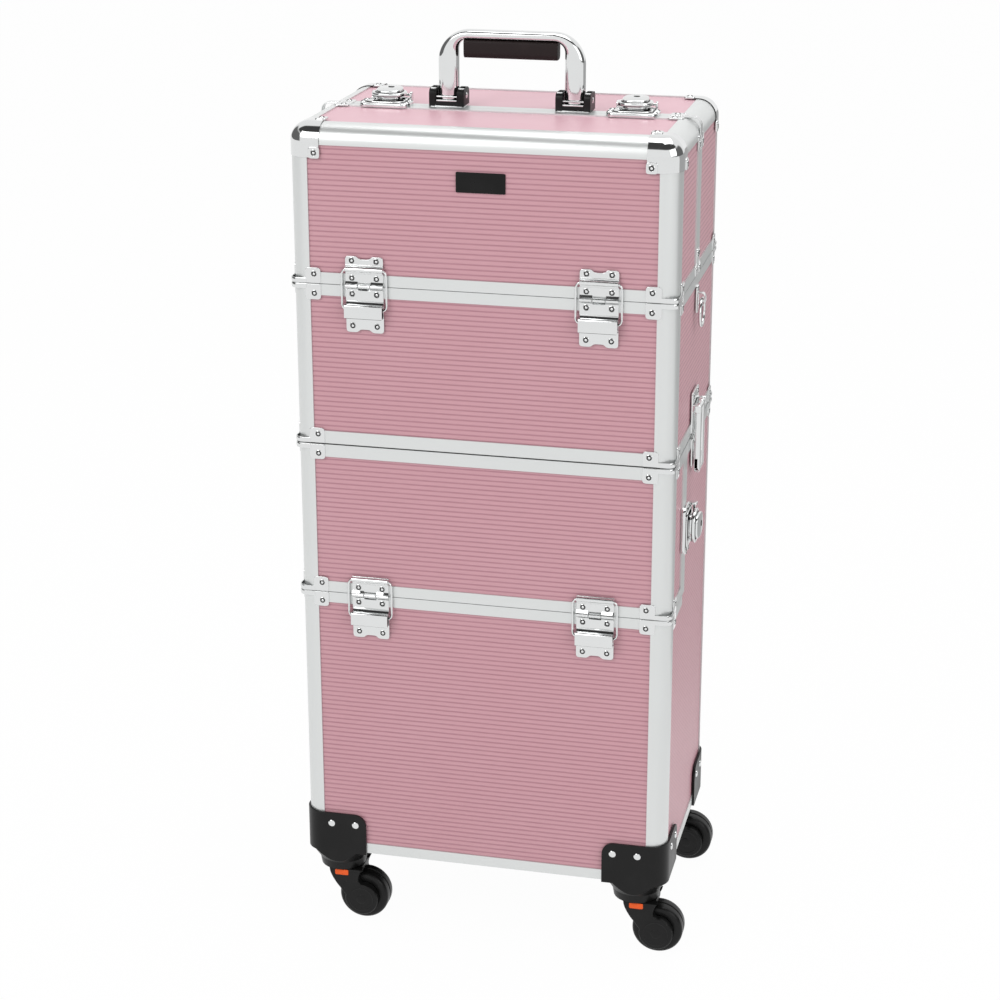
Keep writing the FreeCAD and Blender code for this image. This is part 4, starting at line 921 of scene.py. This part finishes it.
@dataclass
class SideHardware:
    """Draw latches, strap rings and riveted plates on the sides of the case.

    Local axes: u towards the front, v up, w outward.
    """

    middle: float = 4.0
    base_width: float = 34.0
    pivot_up: float = 26.0
    pivot_out: float = 6.0
    lever_half: float = 13.0
    window_half: float = 4.3
    lever_down: float = 34.0
    ring_level: float = 601.25
    ring_radius: float = 12.0
    ring_wire: float = 1.6
    ring_out: float = 4.8

    def placed_left(self, patches: Sequence[Patch], level: float) -> list[Patch]:
        """Set patches on the left side at a level."""
        return placed(patches, (-CASE.half_width, -self.middle, level), FACING_LEFT)

    def draw_base(self) -> list[Patch]:
        """Make the draw latch's base plate with its lugs, pin and rivets."""
        parts = [block(self.base_width, 38.4, 0, 1.6, 3.5, 0.5, (0, 21.4))]
        for way in (-1, 1):
            parts.append(block(3.4, 7.0, 1.2, 9.0, 1.2, 0.8, (way * 15.2, self.pivot_up)))
            parts += rivet(way * 11.5, 36.0, 1.6)
        return parts + [barrel(-16.5, 16.5, self.pivot_up, self.pivot_out, 1.5)]

    def draw_lever(self) -> list[Patch]:
        """Make the lever: two long bars joined by a rolled head and a curled foot."""
        width = self.lever_half - self.window_half
        middle = (self.lever_half + self.window_half) / 2
        length = self.lever_down + self.pivot_up + 3.0
        centre = (self.pivot_up + 3.0 - self.lever_down) / 2
        parts = [block(width, length, 3.5, 8.5, 2.0, 1.6, (way * middle, centre)) for way in (-1, 1)]
        parts.append(block(2 * self.lever_half, 15.0, 3.8, 7.6, 3.0, 1.2, (0, -26.0)))
        parts.append(barrel(-self.lever_half, self.lever_half, -self.lever_down + 1.8, 6.2, 2.2))
        parts.append(barrel(-self.lever_half, self.lever_half, self.pivot_up, self.pivot_out, 2.7))
        return parts

    def draw_keeper(self) -> list[Patch]:
        """Make the keeper below the lift joint."""
        parts = [block(26.0, 28.2, 0, 1.6, 3.0, 0.5, (0, -16.5))]
        parts.append(barrel(-8.0, 8.0, -7.0, 1.3, 1.2))
        return parts

    def ring_tab(self) -> list[Patch]:
        """Make the strap ring's tab with its raised loop and rivets."""
        parts = [block(12.0, 26.0, 0, 1.2, 5.0, 0.4)]
        arch = rounded([(-5.4, 0.4), (-5.4, 7.6), (5.4, 7.6), (5.4, 0.4)], [0.1, 4.5, 4.5, 0.1], 8, closed=False)
        path = np.column_stack([np.zeros(len(arch)), arch])
        parts.append(sweep(path, (1, 0, 0), rounded([(-0.6, -3), (0.6, -3), (0.6, 3), (-0.6, 3)], 0.3, 3), False))
        return parts + rivet(0, 9.3, 1.2)

    def ring(self) -> list[Patch]:
        """Make the round strap ring hanging from its tab."""
        turn = np.linspace(0, 2 * math.pi, 40, endpoint=False)
        path = np.stack([np.sin(turn) * self.ring_radius, np.cos(turn) * self.ring_radius - self.ring_radius,
                         np.full_like(turn, self.ring_out)], -1)
        return [wire(path, (0, 0, 1), self.ring_wire, True, 14)]

    def split_plates(self, end: End) -> list[Patch]:
        """Make the riveted plate where one lid half's strip meets the lid joint."""
        way = -end.value
        outline = rounded([(0.3, 0.4), (13.0, 0.4), (13.0, 9.0), (6.5, 11.5), (6.5, 24.0), (0.3, 24.0)],
                          [0.4, 2.5, 2.0, 2.0, 2.5, 0.4])
        local = [plate(outline, 0, 0.8, 0.3), *rivet(8.6, 5.0, 0.8), *rivet(3.4, 19.5, 0.8)]
        return placed(local, (-CASE.half_width, CASE.lid_split, CASE.lid_joint), ((0, -way, 0), (0, 0, 1), (-1, 0, 0)))

    def build(self) -> None:
        """Make the hardware of both sides."""
        base = self.placed_left(self.draw_base(), CASE.lift_joint)
        build_piece("side_latch_base_plates", base + mirrored(base, 0), METAL, "upper_case", ["side_latch_bases"])
        keeper = self.placed_left(self.draw_keeper(), CASE.lift_joint)
        build_piece("side_latch_keeper_plates", keeper + mirrored(keeper, 0), METAL, "lower_case",
                    ["side_latch_keepers"])
        tab = self.placed_left(self.ring_tab(), self.ring_level)
        build_piece("ring_tab_plates", tab + mirrored(tab, 0), METAL, "upper_case", ["ring_tabs"])
        lever = self.placed_left(self.draw_lever(), CASE.lift_joint)
        ring = self.placed_left(self.ring(), self.ring_level)
        for side in Side:
            for word, patches in (("side_latch", lever), ("ring", ring)):
                node = f"{word}_{side.name.lower()}"
                shown = patches if side is Side.LEFT else mirrored(patches, 0)
                build_piece(f"{node}_shape", shown, METAL, node, [node])
        for end in End:
            tee = self.split_plates(end)
            build_piece(f"{end.name.lower()}_split_plates", tee + mirrored(tee, 0), METAL, f"{end.name.lower()}_lid")


@dataclass
class BowHandle:
    """Folding bow handle: a chrome bow, a soft grip under its bar, and two brackets."""

    y: float = 5.6
    pivot: float = 772.9
    leg_middle: float = 56.9
    leg_half: float = 9.1
    bar_low: float = 821.2
    bar_high: float = 829.9
    depth: float = 15.0
    outer_bend: float = 28.0
    inner_bend: float = 9.0
    grip_length: float = 84.0
    grip_low: float = 805.2
    grip_high: float = 821.2
    grip_depth: float = 14.0
    ear: float = 6.2
    bracket_depth: float = 22.0

    def bow(self) -> list[Patch]:
        """Carry a flat-sided section between the bow's outer and inner lines.

        Each section is the curve |u|^n + |v|^n = 1, stretched from the inner line to the outer one and over the depth.
        """
        outer = self.line(self.leg_middle + self.leg_half, self.bar_high, self.outer_bend)
        inner = self.line(self.leg_middle - self.leg_half, self.bar_low, self.inner_bend)
        ring = oval(2.0, self.depth, 2.5, 40)
        middle, half = (outer + inner) / 2, (outer - inner) / 2
        flat = middle[:, None, :] + half[:, None, :] * ring[None, :, :1]
        deep = np.broadcast_to(self.y + ring[None, :, 1], flat.shape[:2])
        points = np.stack([flat[..., 0], deep, flat[..., 1]], -1).reshape(-1, 3)
        rows, count = len(outer), len(ring)
        faces = [face[::-1] for face in grid_faces(rows, count, ring_columns=True)]
        faces += [tuple(range(count)), tuple(range(count * (rows - 1), count * rows))[::-1]]
        return [Patch(points, faces)]

    def line(self, reach: float, level: float, bend: float) -> Array:
        """Return one edge of the bow from its left foot over the bar to its right foot."""
        spring = level - bend
        turn = np.linspace(0, math.pi / 2, 24)
        arc = np.column_stack([bend * (1 - np.cos(turn)) - reach, spring + bend * np.sin(turn)])
        leg = np.column_stack([np.full(6, -reach), np.linspace(self.pivot - 7.3, spring, 7)[:-1]])
        half = np.concatenate([leg, arc])
        return np.concatenate([half, half[::-1] * (-1, 1)])

    def grip(self) -> list[Patch]:
        """Extrude the grip's rounded section along the bar."""
        half, tall = self.grip_depth / 2, self.grip_high - self.grip_low
        section = rounded([(-half, 0), (half, 0), (half, tall), (-half, tall)], [5.5, 5.5, 2.5, 2.5], 8)
        solid = plate(section, 0, self.grip_length, 1.2)
        return placed([solid], (-self.grip_length / 2, self.y, self.grip_low), ALONG_X)

    def brackets(self) -> list[Patch]:
        """Make the left bracket: a floor plate, a dark front wall and ears with bright caps, bars and its pin."""
        a, half = self.leg_middle, self.bracket_depth / 2
        inner = self.leg_half + 0.4
        parts = [block(2 * (inner + self.ear), self.bracket_depth, -1.2, 0.8, 2.0, 0.4)]
        for way in (-1, 1):
            spot = way * (inner + self.ear / 2)
            cheek = rounded([(-half, 0), (half, 0), (half, 13), (half - 3, 16), (3 - half, 16), (-half, 13)],
                            [0.5, 0.5, 3, 3, 3, 3])
            ear = plate(cheek, 0, self.ear, 0.7).placed((spot - self.ear / 2, 0, 0), ALONG_X)
            parts.append(ear.shown_as(2))
            parts.append(block(self.ear - 1.2, self.bracket_depth - 5, 15.4, 16.0, 1.0, 0.2, (spot, 0)))
            parts.append(lathe([(0, 0.9), (2.0, 0.8), (3.0, 0.1)], 20).placed(
                (way * (inner + self.ear - 0.3), 0, 9.0), ((0, way, 0), (0, 0, 1), (way, 0, 0))))
        wall = block(2 * (inner + self.ear) - 0.6, 2.0, 0.6, 5.0, 0.6, 0.5, (0, 1.2 - half))
        parts.append(wall.shown_as(2))
        parts.append(block(2 * inner - 0.5, 1.8, 4.8, 6.0, 0.5, 0.3, (0, 1.2 - half)))
        parts.append(barrel(-inner, inner, 2.4 - half, 8.6, 0.8))
        return placed(parts, (-a, self.y, CASE.top), UPRIGHT)

    def build(self) -> None:
        """Make the handle and its brackets."""
        build_piece("chrome_bow", self.bow(), METAL, "handle", ["handle_bow"])
        build_piece("bow_grip", self.grip(), (GRIP,), "handle", ["handle_grip"])
        left = self.brackets()
        build_piece("bow_brackets", left + mirrored(left, 0), (CHROME, PAINTED_SHADE, BLACK), "rear_lid", ["handle_brackets"])


@dataclass
class NamePlate:
    """Plain black plate on the lid's front."""

    width: float = 43.0
    height: float = 17.5
    middle: float = 718.5
    wall: float = 1.4
    seat: float = 1.2

    def build(self) -> None:
        """Make the plate, with its edge rounded."""
        parts = [block(self.width, self.height, 0, self.wall, 1.2, 0.4)]
        parts = placed(parts, (0, self.seat - CASE.half_depth, self.middle), FACING_FRONT)
        build_piece("bare_name_plate", parts, (PLATE,), "front_lid", ["name_plate"])


@dataclass
class Casters:
    """Swivel casters: forks with disc hubs, grooved wheels and release buttons, and the mounts' rivets."""

    swivel_x: float = 141.0
    swivel_y: float = 91.0
    trail: float = 21.5
    neck_top: float = 54.1
    neck_shown: float = 14.5
    neck_height: float = 6.0
    bridge_height: float = 5.4
    wheel_radius: float = 23.5
    wheel_half: float = 10.5
    arm_in: float = 11.2
    arm_wall: float = 7.4
    arm_disc: float = 15.7
    button_width: float = 13.0
    button_height: float = 5.6
    button_out: float = 0.7
    button_aside: float = 3.0
    rivet_up: float = 28.3
    rivet_first: float = 25.0
    rivet_second: float = 48.0
    mount_wall: float = 2.0

    def arm_outline(self) -> Array:
        """Return the arm's outline: a waisted neck whose sides run smoothly into the hub disc."""
        hub = np.array([self.trail, self.wheel_radius])
        turn = np.radians(np.linspace(168, 434, 42))
        disc = hub + self.arm_disc * np.stack([np.cos(turn), np.sin(turn)], -1)
        top = self.neck_top - 0.1
        right = curve_through([disc[-1], (21.4, 39.3), (18.9, 42.2), (19.2, 46.6), (20.6, 50.6), (22.2, top)])
        left = curve_through([(-9.4, top), (-8.6, 49.6), (-6.3, 44.2), (-2.6, 38.2), (1.8, 32.6), disc[0]])
        return np.concatenate([disc[:-1], right, left[:-1]])

    def fork(self) -> list[Patch]:
        """Make the fork about its swivel: two arms with stepped hub discs, their bridge and the turned neck."""
        high = self.arm_in + self.arm_wall
        arm = plate(self.arm_outline(), self.arm_in, high, 1.2, 4)
        ring = [(12.4, high - 0.3), (12.2, high + 0.1), (11.7, high + 0.3), (11.2, high + 0.1), (10.9, high - 0.1),
                (4.6, high - 0.05), (4.3, high + 0.2), (3.6, high + 0.35), (0, high + 0.35)]
        hub = lathe(ring, 40).placed((self.trail, self.wheel_radius, 0), UPRIGHT)
        local = [arm, hub]
        parts = placed(local, (0, 0, 0), FACING_FRONT)
        parts += mirrored(parts, 1)
        top, low, r = self.neck_top, self.neck_top - self.neck_height, self.neck_shown
        neck = [(0, low), (r - 2.4, low), (r - 0.6, low + 1.8), (r, low + 3.4), (r, top - 1.0), (r - 0.5, top - 0.2),
                (r - 1.2, top), (5.5, top), (5.5, top + 13.5)]
        bridge = block(29.5, 2 * self.arm_in + 2.0, top - self.bridge_height, top - 0.1, 2.0, 0.8, (6.2, 0.0))
        return [*parts, lathe(neck, 48), bridge]

    def wheel(self) -> list[Patch]:
        """Turn the wheel about its axle: rounded shoulders, a middle groove and dished sides."""
        r, h = self.wheel_radius, self.wheel_half
        turn = np.linspace(0, math.pi / 2, 6)
        shoulder = np.stack([r - 4 + 4 * np.sin(turn), -h + 4 - 4 * np.cos(turn)], -1)
        half = np.concatenate([[(3.05, -h + 1.0), (15.0, -h + 1.0), (16.0, -h)], shoulder,
                               [(r, -1.3), (r - 0.5, -0.9), (r - 1.6, -0.7)]])
        line = np.concatenate([half, half[::-1] * (1, -1)])
        return placed([lathe(line, 56)], (self.trail, 0, self.wheel_radius), ((1, 0, 0), (0, 0, -1), (0, 1, 0)))

    def button(self) -> list[Patch]:
        """Make the release button, which stands a little proud of the arm."""
        reach = self.arm_in + self.arm_wall + self.button_out
        outline = oval(self.button_width, self.button_height, 7.0, 48) + (self.button_aside, 0)
        level = self.neck_top - 0.7 - self.button_height / 2
        return placed([plate(outline, reach - 6.0, reach, 0.5)], (0, 0, level), FACING_FRONT)

    def rivets(self) -> list[Patch]:
        """Make the mounts' rivet heads in all four corners."""
        heads = []
        dome = [lathe(((3.3, 0.0), (3.2, 0.5), (2.6, 0.95), (1.6, 1.2), (0.0, 1.3)), 24)]
        level = CASE.base + self.rivet_up
        for reach in (self.rivet_first, self.rivet_second):
            heads += placed(dome, (reach - CASE.half_width, -CASE.half_depth - self.mount_wall, level), FACING_FRONT)
            heads += placed(dome, (-CASE.half_width - self.mount_wall, reach - CASE.half_depth, level), FACING_LEFT)
        heads += mirrored(heads, 0)
        return heads + mirrored(heads, 1)

    def build(self) -> None:
        """Make the four casters and the mounts' rivets."""
        fork, wheel, button = self.fork(), self.wheel(), self.button()
        for end in End:
            for side in Side:
                corner = f"{end.name.lower()}_{side.name.lower()}"
                spot = (side.value * self.swivel_x, end.value * self.swivel_y, 0)
                for word, patches, finish, body in (("fork", fork, BLACK, "caster"), ("wheel", wheel, TYRE, "wheel"),
                                                    ("button", button, ORANGE, "button")):
                    build_piece(f"{corner}_{word}_shape", placed(patches, spot, UPRIGHT), (finish,),
                                f"{corner}_{body}", [f"{corner}_{word}"])
        build_piece("mount_rivet_heads", self.rivets(), METAL, "lower_case", ["mount_rivets"])


@dataclass
class CaseShell:
    """Panels, frames and mounts that keep their solids and take a finish."""

    def build(self) -> None:
        """Dress each kept solid."""
        for name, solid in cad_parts.items():
            finish = PINK if name.endswith("_panels") else ALUMINIUM if name.endswith("_frame") else CHROME
            if name == "caster_mounts":
                finish = BLACK
            solid.data.materials.clear()
            solid.data.materials.append(finish.material())


@dataclass
class Studio:
    """Camera, soft lamps, pale floor and white surroundings."""

    place: tuple[float, float, float] = (0.4549, -1.9716, 1.1205)
    yaw: float = 13.074
    pitch: float = -18.318
    lens: float = 83.237
    shift: tuple[float, float] = (-0.0072, -0.055)
    key: float = 30.0
    fill: float = 18.0
    over: float = 19.0
    ambient: float = 0.62
    floor_reach: float = 12.0
    floor_glow: float = 0.975
    floor_dim: float = 0.55
    band_dim: float = 0.94
    flank_dim: float = 0.9

    def camera(self) -> None:
        """Set the camera at the photograph's place."""
        data = bpy.data.cameras.new("camera")
        data.sensor_width = 36.0
        data.lens = self.lens
        data.shift_x, data.shift_y = self.shift
        data.clip_end = 50.0
        item = bpy.data.objects.new("camera", data)
        item.location = self.place
        item.rotation_euler = (math.radians(90 + self.pitch), 0, math.radians(self.yaw))
        bpy.context.scene.collection.objects.link(item)
        bpy.context.scene.camera = item

    def lamp(self, name: str, spot: Vec, aim: Vec, size: float, power: float) -> None:
        """Add a square soft lamp that faces a point."""
        data = bpy.data.lights.new(name, "AREA")
        data.size, data.energy = size, power
        item = bpy.data.objects.new(name, data)
        item.location = spot
        away = np.array(spot, float) - np.array(aim, float)
        item.rotation_euler = (math.atan2(math.hypot(away[0], away[1]), away[2]), 0,
                               math.atan2(away[0], -away[1]))
        bpy.context.scene.collection.objects.link(item)

    def floor(self) -> None:
        """Lay a pale floor that shows as the white background, dimmer behind the right side for bright metal."""
        reach = self.floor_reach
        mesh = bpy.data.meshes.new("floor")
        mesh.from_pydata([(-reach, -reach, 0), (reach, -reach, 0), (reach, reach, 0), (-reach, reach, 0)], [],
                         [(0, 1, 2, 3)])
        item = bpy.data.objects.new("floor", mesh)
        bpy.context.scene.collection.objects.link(item)
        made = bpy.data.materials.new("pale_floor")
        made.use_nodes = True
        sheet = ShaderSheet(made.node_tree)
        seen = self.seen(sheet)
        pale = sheet.node("ShaderNodeBsdfDiffuse", None, {"Color": shade(0.86, 0.86, 0.86)})
        x, y, _ = sheet.axes(sheet.place())
        path = sheet.node("ShaderNodeLightPath")
        aside = Term(sheet, path.outputs["Is Glossy Ray"]) * y.span(0.35, 0.6) * x.span(0.2, 0.4)
        tone = sheet.mix(aside * self.floor_dim, shade(1, 1, 1), shade(0, 0, 0))
        glow = sheet.node("ShaderNodeEmission", None, {"Color": tone, "Strength": 1.0})
        share = seen * self.floor_glow
        both = sheet.node("ShaderNodeMixShader", None, {0: share, 1: pale.outputs[0], 2: glow.outputs[0]})
        sheet.node("ShaderNodeOutputMaterial", None, {"Surface": both.outputs[0]})
        mesh.materials.append(made)

    def seen(self, sheet: ShaderSheet) -> Term:
        """Return 1 for rays that see the background: from the camera, off gloss or through glass."""
        path = sheet.node("ShaderNodeLightPath")
        names = ("Is Camera Ray", "Is Glossy Ray", "Is Transmission Ray")
        rays = [Term(sheet, path.outputs[name]) for name in names]
        return rays[0].highest(rays[1]).highest(rays[2])

    def surroundings(self) -> None:
        """Light the scene evenly, and show bright metal white with a dim band overhead and dim flanks."""
        world = bpy.data.worlds.new("studio")
        bpy.context.scene.world = world
        world.use_nodes = True
        sheet = ShaderSheet(world.node_tree)
        path = sheet.node("ShaderNodeLightPath")
        gloss = Term(sheet, path.outputs["Is Glossy Ray"])
        x, y, z = sheet.axes(sheet.term("ShaderNodeTexCoord", output="Generated"))
        band = z.span(0.56, 0.66) * (1 - y.span(0.02, 0.16))
        flank = abs(x).span(0.66, 0.78) * (1 - abs(z).span(0.5, 0.65))
        dim = gloss * band.highest(flank * self.flank_dim) * self.band_dim
        seen = self.seen(sheet)
        strength = seen * (1 - dim) + (1 - seen) * self.ambient
        glow = sheet.node("ShaderNodeBackground", None, {"Color": shade(1, 1, 1), "Strength": strength})
        sheet.node("ShaderNodeOutputWorld", None, {"Surface": glow.outputs[0]})

    def build(self) -> None:
        """Set the stage."""
        self.camera()
        self.floor()
        self.surroundings()
        self.lamp("key_lamp", (-1.4, -2.2, 2.4), (0, 0, 0.45), 1.6, self.key)
        self.lamp("fill_lamp", (2.4, -1.4, 1.6), (0, 0, 0.45), 1.8, self.fill)
        self.lamp("over_lamp", (0.3, 0.2, 2.6), (0, 0, 0.75), 1.4, self.over)
        bpy.context.scene.view_settings.view_transform = "Standard"


def main() -> None:
    """Build the case's looks in order and keep its sizes."""
    logging.basicConfig(level=logging.INFO, format="%(name)s %(message)s")
    for part in (CaseShell(), StayHinge(), CornerClips(), KeyLatch(), SideHardware(), BowHandle(), NamePlate(),
                 Casters(), Studio()):
        part.build()
        log.info("built %s", type(part).__name__)
    bpy.context.view_layer.update()


if __name__ == "__main__":
    main()
